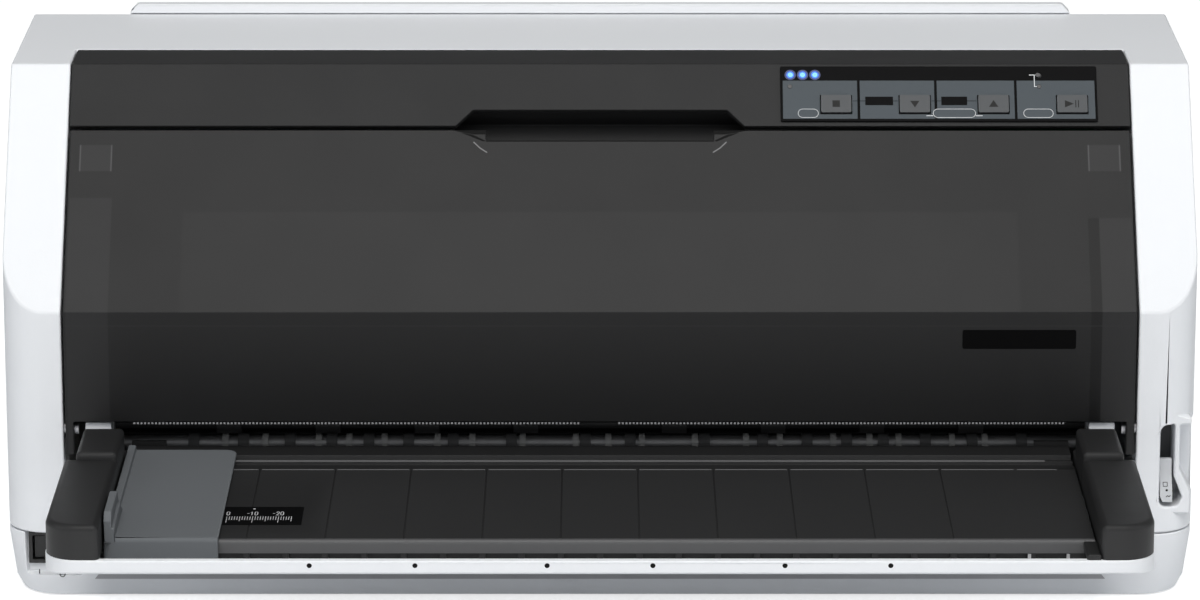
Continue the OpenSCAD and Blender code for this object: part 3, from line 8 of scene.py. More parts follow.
import bmesh
import bpy
from bpy.props import FloatProperty, FloatVectorProperty, IntProperty, PointerProperty
from bpy.types import Operator, Panel, PropertyGroup
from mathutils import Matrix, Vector


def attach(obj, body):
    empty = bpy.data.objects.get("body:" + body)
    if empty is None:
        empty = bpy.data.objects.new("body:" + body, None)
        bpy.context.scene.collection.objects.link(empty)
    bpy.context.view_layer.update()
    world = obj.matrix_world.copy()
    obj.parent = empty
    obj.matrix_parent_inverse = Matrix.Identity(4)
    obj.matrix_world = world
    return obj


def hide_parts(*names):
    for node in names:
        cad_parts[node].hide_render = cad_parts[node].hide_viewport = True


bl_info = {
    "name": "Dot Matrix Printer",
    "version": (1, 0, 0),
    "blender": (4, 5, 0),
    "location": "View3D > Sidebar > Printer",
    "description": "Builds the looks of a flatbed dot matrix printer round its packed frame",
    "category": "Object",
}

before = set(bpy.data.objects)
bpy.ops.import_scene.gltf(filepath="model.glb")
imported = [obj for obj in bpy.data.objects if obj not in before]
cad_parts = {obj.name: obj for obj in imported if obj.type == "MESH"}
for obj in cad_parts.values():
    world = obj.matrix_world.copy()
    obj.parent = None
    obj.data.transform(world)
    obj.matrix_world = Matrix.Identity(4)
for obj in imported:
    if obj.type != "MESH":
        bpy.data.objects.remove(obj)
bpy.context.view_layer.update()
MM = 0.001

# ---- planes that the details lie on ----

FRONT_Y = -45.0
BEND_Z = 119.3
SLOPE_RUN = 68.7
SLOPE_RISE = 86.5
SLOPE_L = math.hypot(SLOPE_RUN, SLOPE_RISE)


class Plane:
    """A flat face with its own across, up and outward directions."""

    def __init__(self, origin, across, up):
        self.origin = Vector(origin)
        self.across = Vector(across).normalized()
        self.up = Vector(up).normalized()
        self.out = self.across.cross(self.up)

    def at(self, u, v, w=0.0):
        return (self.origin + self.across * u + self.up * v + self.out * w) * MM


SLOPE = Plane((0, FRONT_Y, BEND_Z), (1, 0, 0), (0, SLOPE_RUN, SLOPE_RISE))
FRONT = Plane((0, FRONT_Y, 0), (1, 0, 0), (0, 0, 1))
LEVEL = Plane((0, 0, 0), (1, 0, 0), (0, 1, 0))
SIDE = Plane((0, 0, 0), (0, 1, 0), (0, 0, 1))
LEVER = Plane((0, -43.8, 43.7), (1, 0, 0), (0, 4.2, 6.5))


# ---- places that several pieces share ----

TABLE_Z = 62.0
LIP_Z = 59.9
FILM_TOP = 0.8
ARM_IN, ARM_OUT, ARM_BLOCK_OUT = 189.62, 210.7, 205.9
LIP_HOLES = (-110, -70, -20, 20, 70, 110)
LIT_LAMPS = ((77.4, 105.0), (82.4, 105.0), (87.4, 105.0))
DARK_LAMPS = ((77.2, 99.8), (178.1, 105.0), (178.5, 99.8))
SCALE_ZERO_X = -144.2
SCALE_END_X = -119.0
TOOTH_PITCH = 1.45

# ---- meshes ----


def rectangle(x0, y0, x1, y1):
    return [(x0, y0), (x1, y0), (x1, y1), (x0, y1)]


def round_rectangle(x0, y0, x1, y1, r, steps=5):
    points = []
    corners = ((x1 - r, y0 + r, -90), (x1 - r, y1 - r, 0), (x0 + r, y1 - r, 90), (x0 + r, y0 + r, 180))
    for cx, cy, start in corners:
        for k in range(steps + 1):
            a = math.radians(start + 90 * k / steps)
            points.append((cx + r * math.cos(a), cy + r * math.sin(a)))
    return points


def disc(cx, cy, r, sides=24):
    turns = [2 * math.pi * k / sides for k in range(sides)]
    return [(cx + r * math.cos(a), cy + r * math.sin(a)) for a in turns]


def plan(x0, x1, y0, y1, radii, inset=0.0, steps=8):
    """A rectangle drawn in by inset; the radii run right front, right rear, left rear, left front."""
    points = []
    corners = ((x1, y0, -1, 1, -90), (x1, y1, -1, -1, 0), (x0, y1, 1, -1, 90), (x0, y0, 1, 1, 180))
    for (cx, cy, sx, sy, start), radius in zip(corners, radii):
        r = max(radius - inset, 0.05)
        for k in range(steps + 1):
            a = math.radians(start + 90 * k / steps)
            points.append((cx + sx * (inset + r) + r * math.cos(a), cy + sy * (inset + r) + r * math.sin(a)))
    return points


class Maker:
    """Collects solids of one piece in a single mesh."""

    def __init__(self):
        self.bm = bmesh.new()

    def slab(self, plane, outline, w0, w1):
        """A plate with that outline on the plane, from height w0 to w1 over it."""
        low = [self.bm.verts.new(plane.at(u, v, w0)) for u, v in outline]
        top = [self.bm.verts.new(plane.at(u, v, w1)) for u, v in outline]
        n = len(outline)
        self.bm.faces.new(list(reversed(low)))
        self.bm.faces.new(top)
        for k in range(n):
            self.bm.faces.new((low[k], low[(k + 1) % n], top[(k + 1) % n], top[k]))

    def ring(self, plane, outer, inner, w0, w1):
        """A frame between two outlines with as many points each."""
        n = len(outer)
        loops = [[self.bm.verts.new(plane.at(u, v, w)) for u, v in line] for line, w in
                 ((outer, w0), (outer, w1), (inner, w1), (inner, w0))]
        for a, b in ((0, 1), (1, 2), (2, 3), (3, 0)):
            for k in range(n):
                j = (k + 1) % n
                self.bm.faces.new((loops[a][k], loops[a][j], loops[b][j], loops[b][k]))

    def box(self, x0, x1, y0, y1, z0, z1):
        self.slab(LEVEL, rectangle(x0, y0, x1, y1), z0, z1)

    def cushion(self, x0, x1, y0, y1, z0, z1, radii, fillet, steps=7, side=1):
        """A block with rounded upright corners and a rounded upper edge; side -1 mirrors it."""
        rows = [(0.0, z0)]
        for k in range(steps + 1):
            a = math.radians(90 * k / steps)
            rows.append((fillet * (1 - math.cos(a)), z1 - fillet + fillet * math.sin(a)))
        loops = [[self.bm.verts.new(Vector((side * x, y, z)) * MM)
                  for x, y in plan(x0, x1, y0, y1, radii, inset)]
                 for inset, z in rows]
        n = len(loops[0])
        for lower, upper in zip(loops, loops[1:]):
            for k in range(n):
                j = (k + 1) % n
                self.bm.faces.new((lower[k], lower[j], upper[j], upper[k]))
        self.bm.faces.new(list(reversed(loops[0])))
        self.bm.faces.new(loops[-1])

    def stroke(self, plane, points, width, w0, w1):
        """A thick line through the points, one bar for each part of it."""
        for (ax, ay), (bx, by) in zip(points, points[1:]):
            along = Vector((bx - ax, by - ay)).normalized()
            cx, cy = -along.y * width / 2, along.x * width / 2
            corners = [(ax - cx, ay - cy), (bx - cx, by - cy), (bx + cx, by + cy), (ax + cx, ay + cy)]
            self.slab(plane, corners, w0, w1)

    def rod(self, start, end, r, sides=20, r_end=None):
        """A round bar between two points."""
        a, b = Vector(start), Vector(end)
        along = (b - a).normalized()
        side = along.orthogonal().normalized()
        other = along.cross(side)
        rings = []
        for centre, radius in ((a, r), (b, r if r_end is None else r_end)):
            rings.append([self.bm.verts.new(
                (centre + radius * (math.cos(t) * side + math.sin(t) * other)) * MM)
                          for t in (2 * math.pi * k / sides for k in range(sides))])
        for k in range(sides):
            j = (k + 1) % sides
            self.bm.faces.new((rings[0][k], rings[0][j], rings[1][j], rings[1][k]))
        self.bm.faces.new(list(reversed(rings[0])))
        self.bm.faces.new(rings[1])


def settle(obj, body, finish):
    """Links a piece to its body and its finish."""
    bpy.context.scene.collection.objects.link(obj)
    obj.data.materials.clear()
    obj.data.materials.append(bpy.data.materials[finish])
    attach(obj, body)
    return obj


def weigh_edges(bm, angle, tiny):
    """Marks the edges to be rounded: the sharp ones, apart from those round small holes."""
    weight = bm.edges.layers.float.new("bevel_weight_edge")
    for edge in bm.edges:
        if len(edge.link_faces) == 2 and edge.calc_face_angle(0) > math.radians(angle):
            edge[weight] = 1.0 if edge.calc_length() > tiny * MM else 0.0


def soften_edges(obj, width, segments=2):
    if width > 0:
        rounding = obj.modifiers.new("soft_edges", "BEVEL")
        rounding.width = width * MM
        rounding.segments = segments
        rounding.limit_method = "WEIGHT"
        rounding.use_clamp_overlap = False
        rounding.harden_normals = True
        rounding.miter_outer = "MITER_ARC"


def piece(name, maker, body, finish, edge=0.0, segments=2, angle=30):
    """Turns what a maker holds into a piece of the printer."""
    bm = maker.bm
    bmesh.ops.recalc_face_normals(bm, faces=bm.faces)
    weigh_edges(bm, angle, 0.0)
    mesh = bpy.data.meshes.new(name)
    bm.to_mesh(mesh)
    bm.free()
    finish_normals(mesh, angle)
    obj = bpy.data.objects.new(name, mesh)
    settle(obj, body, finish)
    soften_edges(obj, edge, segments)
    return obj


def finish_normals(mesh, angle=30):
    mesh.polygons.foreach_set("use_smooth", [True] * len(mesh.polygons))
    mesh.set_sharp_from_angle(angle=math.radians(angle))
    mesh.update()


def softened(node, name, body, finish, edge, segments=2, angle=30, tiny=0.3, split=False):
    """A copy of a CAD node with rounded edges, which stands for it; split cuts notched faces in triangles."""
    bm = bmesh.new()
    bm.from_mesh(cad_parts[node].data)
    bmesh.ops.remove_doubles(bm, verts=bm.verts, dist=2e-6)
    bmesh.ops.dissolve_limit(bm, angle_limit=math.radians(0.6), verts=bm.verts, edges=bm.edges)
    if split:
        bmesh.ops.triangulate(bm, faces=bm.faces, ngon_method="EAR_CLIP")
    weigh_edges(bm, angle, tiny)
    mesh = bpy.data.meshes.new(name)
    bm.to_mesh(mesh)
    bm.free()
    for extra in ("custom_normal", "sharp_face"):
        if extra in mesh.attributes:
            mesh.attributes.remove(mesh.attributes[extra])
    finish_normals(mesh, angle)
    obj = bpy.data.objects.new(name, mesh)
    settle(obj, body, finish)
    soften_edges(obj, edge, segments)
    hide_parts(node)
    return obj


def dress(node, finish):
    """Gives a carried-over CAD node its finish."""
    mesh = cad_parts[node].data
    mesh.materials.clear()
    mesh.materials.append(bpy.data.materials[finish])


# ---- shader graphs ----


class Graph:
    """Adds nodes to one tree and links them by socket name."""

    def __init__(self, tree):
        self.tree = tree

    def add(self, kind, **settings):
        node = self.tree.nodes.new(kind)
        for key, value in settings.items():
            setattr(node, key, value)
        return node

    def link(self, out, into):
        self.tree.links.new(out, into)

    def feed(self, node, name, value):
        """Sets an input, or links it where value is another node's output."""
        socket = node.inputs[name]
        if isinstance(value, bpy.types.NodeSocket):
            self.link(value, socket)
        else:
            socket.default_value = value

    def math(self, operation, a, b=None, c=None, clamp=False):
        node = self.add("ShaderNodeMath", operation=operation, use_clamp=clamp)
        for k, value in enumerate((a, b, c)):
            if value is not None:
                self.feed(node, k, value)
        return node.outputs[0]

    def span(self, value, low, high, to_low=0.0, to_high=1.0, smooth=False):
        """Maps a range of values to another one, and holds it at the ends."""
        node = self.add("ShaderNodeMapRange", clamp=True)
        node.interpolation_type = "SMOOTHSTEP" if smooth else "LINEAR"
        for name, v in (("Value", value), ("From Min", low), ("From Max", high),
                        ("To Min", to_low), ("To Max", to_high)):
            self.feed(node, name, v)
        return node.outputs["Result"]

    def mix(self, factor, a, b, blend="MIX"):
        node = self.add("ShaderNodeMix", data_type="RGBA", blend_type=blend)
        self.feed(node, 0, factor)
        self.feed(node, 6, a)
        self.feed(node, 7, b)
        return node.outputs[2]

    def noise(self, vector, scale, detail=2.0, rough=0.5):
        node = self.add("ShaderNodeTexNoise")
        self.link(vector, node.inputs["Vector"])
        self.feed(node, "Scale", scale)
        self.feed(node, "Detail", detail)
        self.feed(node, "Roughness", rough)
        return node.outputs["Fac"]

    def place(self):
        return self.add("ShaderNodeTexCoord").outputs["Object"]

    def parts(self, vector):
        node = self.add("ShaderNodeSeparateXYZ")
        self.link(vector, node.inputs[0])
        return node.outputs


def new_group(name, inputs, outputs):
    """A shader group with named sockets: (name, kind, default) for inputs, (name, kind) for outputs."""
    tree = bpy.data.node_groups.new(name, "ShaderNodeTree")
    for label, kind, default in inputs:
        socket = tree.interface.new_socket(label, in_out="INPUT", socket_type=kind)
        socket.default_value = default
    for label, kind in outputs:
        tree.interface.new_socket(label, in_out="OUTPUT", socket_type=kind)
    graph = Graph(tree)
    return graph, graph.add("NodeGroupInput").outputs, graph.add("NodeGroupOutput").inputs


def group_moulded_grain():
    """Spark-eroded plastic: fine pits, with slow changes of shade and gloss."""
    g, a, out = new_group("Moulded grain", [
        ("Colour", "NodeSocketColor", (0.5, 0.5, 0.5, 1)), ("Grain scale", "NodeSocketFloat", 2200.0),
        ("Shade change", "NodeSocketFloat", 0.03), ("Roughness", "NodeSocketFloat", 0.5),
        ("Gloss change", "NodeSocketFloat", 0.06)],
        [("Colour", "NodeSocketColor"), ("Roughness", "NodeSocketFloat"), ("Height", "NodeSocketFloat")])
    at = g.place()
    fine = g.noise(at, a["Grain scale"], 3.0, 0.6)
    pits = g.add("ShaderNodeTexVoronoi", feature="SMOOTH_F1")
    g.link(at, pits.inputs["Vector"])
    g.link(g.math("MULTIPLY", a["Grain scale"], 0.6), pits.inputs["Scale"])
    height = g.math("MULTIPLY_ADD", pits.outputs["Distance"], 0.6, g.math("MULTIPLY", fine, 0.5))
    slow = g.noise(at, 14.0, 2.0)
    shade = g.math("MULTIPLY_ADD", g.math("SUBTRACT", slow, 0.5),
                   g.math("MULTIPLY", a["Shade change"], 2.0), 1.0)
    speck = g.math("MULTIPLY_ADD", g.math("SUBTRACT", fine, 0.5), a["Shade change"], shade)
    tone = g.add("ShaderNodeVectorMath", operation="SCALE")
    g.link(a["Colour"], tone.inputs[0])
    g.link(speck, tone.inputs["Scale"])
    g.link(tone.outputs[0], out["Colour"])
    smudge = g.noise(at, 34.0, 3.0, 0.62)
    g.link(g.math("MULTIPLY_ADD", g.math("SUBTRACT", smudge, 0.5), g.math("MULTIPLY", a["Gloss change"], 2.0),
                  a["Roughness"], clamp=True), out["Roughness"])
    g.link(height, out["Height"])


def group_drawn_metal():
    """Fine drawn or turned lines along one axis, with a little tarnish."""
    g, a, out = new_group("Drawn metal", [
        ("Colour", "NodeSocketColor", (0.6, 0.6, 0.6, 1)),
        ("Stretch", "NodeSocketVector", (8.0, 900.0, 900.0)),
        ("Roughness", "NodeSocketFloat", 0.3), ("Tarnish", "NodeSocketFloat", 0.12)],
        [("Colour", "NodeSocketColor"), ("Roughness", "NodeSocketFloat"), ("Height", "NodeSocketFloat")])
    at = g.place()
    stretched = g.add("ShaderNodeVectorMath", operation="MULTIPLY")
    g.link(at, stretched.inputs[0])
    g.link(a["Stretch"], stretched.inputs[1])
    lines = g.noise(stretched.outputs[0], 1.0, 4.0, 0.65)
    cloud = g.noise(at, 55.0, 3.0)
    dull = g.math("MULTIPLY", g.span(cloud, 0.42, 0.75), a["Tarnish"])
    tone = g.add("ShaderNodeVectorMath", operation="SCALE")
    g.link(a["Colour"], tone.inputs[0])
    g.link(g.math("SUBTRACT", g.math("MULTIPLY_ADD", lines, 0.16, 0.92), dull), tone.inputs["Scale"])
    g.link(tone.outputs[0], out["Colour"])
    g.link(g.math("ADD", g.math("MULTIPLY_ADD", lines, 0.14, a["Roughness"]), dull, clamp=True),
           out["Roughness"])
    g.link(lines, out["Height"])


def group_dot_screen():
    """The fine staggered dots printed inside the cover, as a mask that is 1 on a dot."""
    g, a, out = new_group("Dot screen", [("Across", "NodeSocketFloat", 0.0), ("Up", "NodeSocketFloat", 0.0),
                                         ("Pitch", "NodeSocketFloat", 0.0011)], [("Dots", "NodeSocketFloat")])
    turns = []
    for value, sign in ((a["Across"], 1.0), (a["Across"], -1.0)):
        total = g.math("MULTIPLY_ADD", a["Up"], sign, value)
        turns.append(g.math("COSINE", g.math("MULTIPLY", g.math("DIVIDE", total, a["Pitch"]), 2 * math.pi)))
    both = g.math("ADD", turns[0], turns[1])
    g.link(g.span(both, 0.1, 0.9), out["Dots"])


def group_board_tracks():
    """Copper tracks and pads under a board's lacquer, as a mask."""
    g, a, out = new_group("Board tracks", [("Scale", "NodeSocketFloat", 160.0)],
                          [("Tracks", "NodeSocketFloat")])
    at = g.place()
    brick = g.add("ShaderNodeTexBrick", offset=0.35)
    g.link(at, brick.inputs["Vector"])
    for name, value in (("Scale", a["Scale"]), ("Mortar Size", 0.05), ("Color1", (0, 0, 0, 1)),
                        ("Color2", (0, 0, 0, 1)), ("Mortar", (1, 1, 1, 1))):
        g.feed(brick, name, value)
    pads = g.add("ShaderNodeTexVoronoi", feature="F1")
    g.link(at, pads.inputs["Vector"])
    g.link(g.math("MULTIPLY", a["Scale"], 1.7), pads.inputs["Scale"])
    dots = g.span(pads.outputs["Distance"], 0.22, 0.16)
    g.link(g.math("MAXIMUM", brick.outputs["Fac"], dots), out["Tracks"])


def group_cloth_weave():
    """Plain weave of the inked ribbon, as a height."""
    g, a, out = new_group("Cloth weave", [("Threads", "NodeSocketFloat", 5200.0)],
                          [("Height", "NodeSocketFloat")])
    x, y, _ = g.parts(g.place())
    over = g.math("SINE", g.math("MULTIPLY", x, a["Threads"]))
    under = g.math("SINE", g.math("MULTIPLY", y, a["Threads"]))
    g.link(g.math("MULTIPLY", over, under), out["Height"])


GROUPS = (group_moulded_grain, group_drawn_metal, group_dot_screen, group_board_tracks, group_cloth_weave)


def start_material(name):
    material = bpy.data.materials.new(name)
    material.use_nodes = True
    graph = Graph(material.node_tree)
    shader = material.node_tree.nodes["Principled BSDF"]
    return material, graph, shader


def use_group(graph, name, **values):
    node = graph.add("ShaderNodeGroup", node_tree=bpy.data.node_groups[name])
    for key, value in values.items():
        graph.feed(node, key.replace("_", " "), value)
    return node.outputs


def bump(graph, shader, height, depth, strength=1.0):
    """Depth is in millimetres."""
    node = graph.add("ShaderNodeBump")
    node.inputs["Distance"].default_value = depth * MM
    node.inputs["Strength"].default_value = strength
    graph.link(height, node.inputs["Height"])
    graph.link(node.outputs["Normal"], shader.inputs["Normal"])


def moulded(name, colour, rough, scale=2200.0, depth=0.03, shade=0.03, gloss=0.05, level=0.5):
    """Moulded plastic or rubber with a fine grain."""
    material, g, shader = start_material(name)
    made = use_group(g, "Moulded grain", Colour=(*colour, 1), Grain_scale=scale, Shade_change=shade,
                     Roughness=rough, Gloss_change=gloss)
    g.link(made["Colour"], shader.inputs["Base Color"])
    g.link(made["Roughness"], shader.inputs["Roughness"])
    shader.inputs["Specular IOR Level"].default_value = level
    bump(g, shader, made["Height"], depth)
    return material


def metal(name, colour, rough, stretch=(8.0, 900.0, 900.0), tarnish=0.1, depth=0.004):
    """Drawn, ground or plated metal."""
    material, g, shader = start_material(name)
    made = use_group(g, "Drawn metal", Colour=(*colour, 1), Stretch=stretch, Roughness=rough, Tarnish=tarnish)
    g.link(made["Colour"], shader.inputs["Base Color"])
    g.link(made["Roughness"], shader.inputs["Roughness"])
    shader.inputs["Metallic"].default_value = 1.0
    bump(g, shader, made["Height"], depth)
    return material


def smoked_cover(name, colours):
    """Smoked plastic: a dot screen round a clear window, strips of other shades at both ends, latch tabs."""
    material, g, shader = start_material(name)
    at = g.place()
    x, y, z = g.parts(at)
    across = g.math("ABSOLUTE", x)
    above = g.math("MAXIMUM", g.math("SUBTRACT", z, BEND_Z * MM), 0.0)
    up = g.math("MULTIPLY_ADD", above, SLOPE_L / SLOPE_RISE - 1, z)

    def window(value, low, high):
        return g.math("MULTIPLY", g.span(value, low - 0.0002, low + 0.0002),
                      g.span(value, high + 0.0002, high - 0.0002))

    def shade(times):
        return (*[v * times for v in colours.smoked], 1)

    made = use_group(g, "Moulded grain", Colour=(*colours.smoked, 1), Grain_scale=900.0, Shade_change=0.02,
                     Roughness=0.34, Gloss_change=0.03)
    dots = use_group(g, "Dot screen", Across=x, Up=up, Pitch=0.00115)["Dots"]
    outside = g.math("MAXIMUM", g.span(across, 0.1678, 0.1682), g.span(z, 0.1537, 0.1541))
    screen = g.math("MULTIPLY", dots, outside)
    clear = g.math("MULTIPLY", g.math("SUBTRACT", 1.0, outside), g.span(z, 0.1190, 0.1196))
    tone = g.mix(clear, made["Colour"], shade(1.15))
    tone = g.mix(g.math("MULTIPLY", screen, 0.35), tone, shade(1.7))
    strips = ((-0.2137, -0.1968, 0.0, 0.1588, 1.7), (0.1964, 0.2009, 0.0, 0.1518, 0.5),
              (0.2009, 0.2141, 0.0, 0.1518, 1.7), (-0.2103, -0.1976, 0.1681, 0.1772, 1.9),
              (0.1976, 0.2103, 0.1681, 0.1772, 1.9))
    for x0, x1, z0, z1, times in strips:
        tone = g.mix(g.math("MULTIPLY", window(x, x0, x1), window(z, z0, z1)), tone, shade(times))
    rims = g.math("MULTIPLY",
                  g.math("MAXIMUM", window(across, 0.1974, 0.1979), window(across, 0.2100, 0.2105)),
                  window(z, 0.1681, 0.1772))
    tone = g.mix(rims, tone, shade(6.0))
    line = g.math("MULTIPLY", window(z, 0.1136, 0.1140), g.span(y, -0.0440, -0.0445))
    tone = g.mix(g.math("MULTIPLY", line, 0.6), tone, shade(2.2))
    g.link(tone, shader.inputs["Base Color"])
    g.link(g.math("MULTIPLY_ADD", screen, 0.08, made["Roughness"]), shader.inputs["Roughness"])
    shader.inputs["Specular IOR Level"].default_value = 0.25
    bump(g, shader, g.math("MULTIPLY_ADD", screen, 0.5, g.math("MULTIPLY", made["Height"], 0.1)), 0.01)
    return material


def lamp_lens(name, core, rim, strength):
    """A glowing lens: the core's colour where it faces the eye, the rim's where it turns away."""
    material, g, shader = start_material(name)
    facing = g.add("ShaderNodeLayerWeight")
    facing.inputs["Blend"].default_value = 0.35
    tone = g.mix(g.span(facing.outputs["Facing"], 0.25, 0.0), (*rim, 1), (*core, 1))
    g.link(tone, shader.inputs["Emission Color"])
    shader.inputs["Emission Strength"].default_value = strength
    shader.inputs["Base Color"].default_value = (*[v * 0.4 for v in rim], 1)
    shader.inputs["Roughness"].default_value = 0.18
    return material


def board_lacquer(name, colour, copper):
    material, g, shader = start_material(name)
    tracks = use_group(g, "Board tracks")["Tracks"]
    grain = use_group(g, "Moulded grain", Colour=(*colour, 1), Grain_scale=1500.0, Roughness=0.35)
    g.link(g.mix(g.math("MULTIPLY", tracks, 0.6), grain["Colour"], (*copper, 1)), shader.inputs["Base Color"])
    g.link(grain["Roughness"], shader.inputs["Roughness"])
    bump(g, shader, tracks, 0.03)
    return material


def inked_cloth(name, colour):
    material, g, shader = start_material(name)
    made = use_group(g, "Moulded grain", Colour=(*colour, 1), Grain_scale=3000.0, Shade_change=0.1,
                     Roughness=0.8)
    g.link(made["Colour"], shader.inputs["Base Color"])
    g.link(made["Roughness"], shader.inputs["Roughness"])
    bump(g, shader, use_group(g, "Cloth weave")["Height"], 0.03)
    return material


# ---- what a user would change ----


def colour_setting(label, about, value):
    return FloatVectorProperty(name=label, description=about, default=value, min=0, max=1, size=3,
                               subtype="COLOR")


class PrinterColours(PropertyGroup):
    casing: colour_setting("Casing", "White plastic of the casing and the shelf's lip", (0.80, 0.815, 0.84))
    trim: colour_setting("Trim", "Black plastic of the strip above the cover", (0.0165, 0.0165, 0.0168))
    shelf: colour_setting("Shelf", "Black plastic of the paper table and its arms", (0.0135, 0.0135, 0.0138))
    guide: colour_setting("Edge guide", "Grey plastic of the sliding edge guide", (0.095, 0.098, 0.107))
    smoked: colour_setting("Cover", "Smoked plastic of the front cover", (0.0098, 0.0098, 0.0101))
    field: colour_setting("Control fields", "Grey fields behind the buttons", (0.062, 0.073, 0.082))
    button: colour_setting("Buttons", "Plastic of the four buttons", (0.032, 0.033, 0.034))
    glow: colour_setting("Lamps", "Light of the lit lamps", (0.0, 0.20, 1.0))
    print_white: colour_setting("Printing", "White printing on the strip and the scale", (0.62, 0.63, 0.64))


class PrinterSizes(PropertyGroup):
    shell_edge: FloatProperty(name="Casing edges", description="Rounding of the casing's edges",
                              default=0.0009, min=0, max=0.003, unit="LENGTH")
    small_edge: FloatProperty(name="Small edges", description="Rounding of buttons and small mouldings",
                              default=0.0003, min=0, max=0.001, unit="LENGTH")
    scale_marks: IntProperty(name="Scale marks", description="Millimetre marks on the scale strip",
                             default=27, min=10, max=40)


class PrinterSettings(PropertyGroup):
    colours: PointerProperty(type=PrinterColours)
    sizes: PointerProperty(type=PrinterSizes)


def settings():
    return bpy.context.scene.printer_looks


# ---- casing ----


def build_finishes():
    for build in GROUPS:
        build()
    c = settings().colours
    moulded("casing_white", c.casing, 0.50, 1900.0, 0.022, 0.012, 0.05, 0.30)
    moulded("trim_black", c.trim, 0.52, 1700.0, 0.03, 0.08, 0.05, 0.30)
    moulded("shelf_black", c.shelf, 0.50, 1700.0, 0.03, 0.08, 0.05, 0.45)
    moulded("guide_grey", c.guide, 0.48, 1900.0, 0.022, 0.04, 0.05, 0.40)
    smoked_cover("cover_smoked", c)
    moulded("film_black", (0.003, 0.003, 0.0032), 0.40, 2600.0, 0.006, 0.05, 0.04, 0.05)
    moulded("film_field", c.field, 0.42, 2600.0, 0.006, 0.03, 0.04, 0.15)
    # Near black: the tear edge's own colour, and painted shade in the hand recess and in the lip's holes.
    moulded("black_and_painted_shade", (0.004, 0.004, 0.004), 0.6, 1700.0, 0.02, 0.05, 0.05, 0.15)
    # Painted highlight: the table's black plastic, lit along its front edge.
    moulded("bar_painted_highlight", (0.085, 0.085, 0.087), 0.45, 1900.0, 0.01, 0.05, 0.05, 0.5)
    # Painted highlight: the grey of the lit ridges and of the glints at the hand recess.
    moulded("painted_highlight_grey", (0.15, 0.15, 0.153), 0.45, 1900.0, 0.01, 0.05, 0.05, 0.45)
    # Painted shade: the grey of the shadowed step under the shelf's lip.
    moulded("painted_shade_grey", (0.40, 0.40, 0.41), 0.6, 1900.0, 0.02, 0.03, 0.05, 0.2)
    moulded("glint_pale", (0.40, 0.40, 0.41), 0.4, 2400.0, 0.004, 0.03, 0.03, 0.4)
    metal("shaft_satin", (0.38, 0.38, 0.385), 0.5, (6.0, 900.0, 900.0), 0.08)
    moulded("roller_grey", (0.07, 0.07, 0.071), 0.6, 1300.0, 0.04, 0.12, 0.06, 0.4)
    moulded("film_white", c.print_white, 0.45, 2600.0, 0.004, 0.02, 0.03, 0.35)
    moulded("button_grey", c.button, 0.42, 2300.0, 0.012, 0.05, 0.05, 0.40)
    moulded("button_mark", (0.010, 0.010, 0.010), 0.5, 2300.0, 0.01, 0.05, 0.04, 0.30)
    moulded("plate_black", (0.002, 0.002, 0.0021), 0.5, 2600.0, 0.003, 0.05, 0.03, 0.05)
    # Painted glint on the tips of the tear edge's teeth.
    moulded("tooth_painted_glint", (0.30, 0.30, 0.31), 0.40, 2400.0, 0.01, 0.04, 0.04, 0.45)
    moulded("rubber_black", (0.012, 0.012, 0.012), 0.74, 1300.0, 0.05, 0.12, 0.06, 0.25)
    moulded("clip_grey", (0.32, 0.32, 0.315), 0.42, 2000.0, 0.012, 0.05, 0.05, 0.45)
    moulded("acetal_pale", (0.66, 0.63, 0.55), 0.42, 1500.0, 0.02, 0.05, 0.05, 0.45)
    moulded("inner_black", (0.018, 0.018, 0.0185), 0.55, 1200.0, 0.04, 0.1, 0.06, 0.35)
    moulded("switch_black", (0.008, 0.008, 0.0085), 0.36, 2000.0, 0.012, 0.08, 0.05, 0.40)
    moulded("recess_grey", (0.105, 0.107, 0.110), 0.55, 1700.0, 0.02, 0.05, 0.05, 0.35)
    moulded("lever_grey", (0.42, 0.43, 0.45), 0.46, 1900.0, 0.02, 0.03, 0.05, 0.40)
    moulded("knob_blue", (0.02, 0.07, 0.22), 0.42, 1800.0, 0.02, 0.05, 0.05, 0.45)
    moulded("enamel_black", (0.022, 0.022, 0.024), 0.36, 700.0, 0.03, 0.1, 0.06, 0.5)
    moulded("head_casting", (0.05, 0.05, 0.052), 0.48, 900.0, 0.05, 0.1, 0.06, 0.5)
    metal("steel_zinc", (0.56, 0.57, 0.59), 0.36, (60.0, 60.0, 60.0), 0.16, 0.004)
    metal("steel_ground", (0.62, 0.62, 0.63), 0.20, (6.0, 1400.0, 1400.0), 0.05)
    metal("steel_screw", (0.55, 0.55, 0.57), 0.26, (900.0, 20.0, 900.0), 0.1)
    metal("steel_dark", (0.16, 0.16, 0.165), 0.42, (9.0, 700.0, 700.0), 0.1)
    metal("brass_turned", (0.62, 0.43, 0.16), 0.26, (20.0, 1200.0, 1200.0), 0.12)
    metal("bronze_bush", (0.42, 0.27, 0.11), 0.40, (300.0, 300.0, 300.0), 0.2)
    lamp_lens("lens_lit", (0.35, 0.85, 1.0), c.glow, 1.0)
    lamp_lens("halo_blue", (0.01, 0.14, 0.80), (0.0, 0.10, 0.60), 1.0)
    lamp_lens("bloom_blue", (0.0, 0.015, 0.10), (0.0, 0.01, 0.08), 1.0)
    moulded("lens_dark", (0.035, 0.035, 0.036), 0.25, 2500.0, 0.004, 0.05, 0.03, 0.5)
    board_lacquer("board_green", (0.010, 0.075, 0.026), (0.05, 0.16, 0.05))
    board_lacquer("board_brown", (0.17, 0.10, 0.035), (0.30, 0.17, 0.07))
    inked_cloth("ribbon_inked", (0.010, 0.010, 0.012))


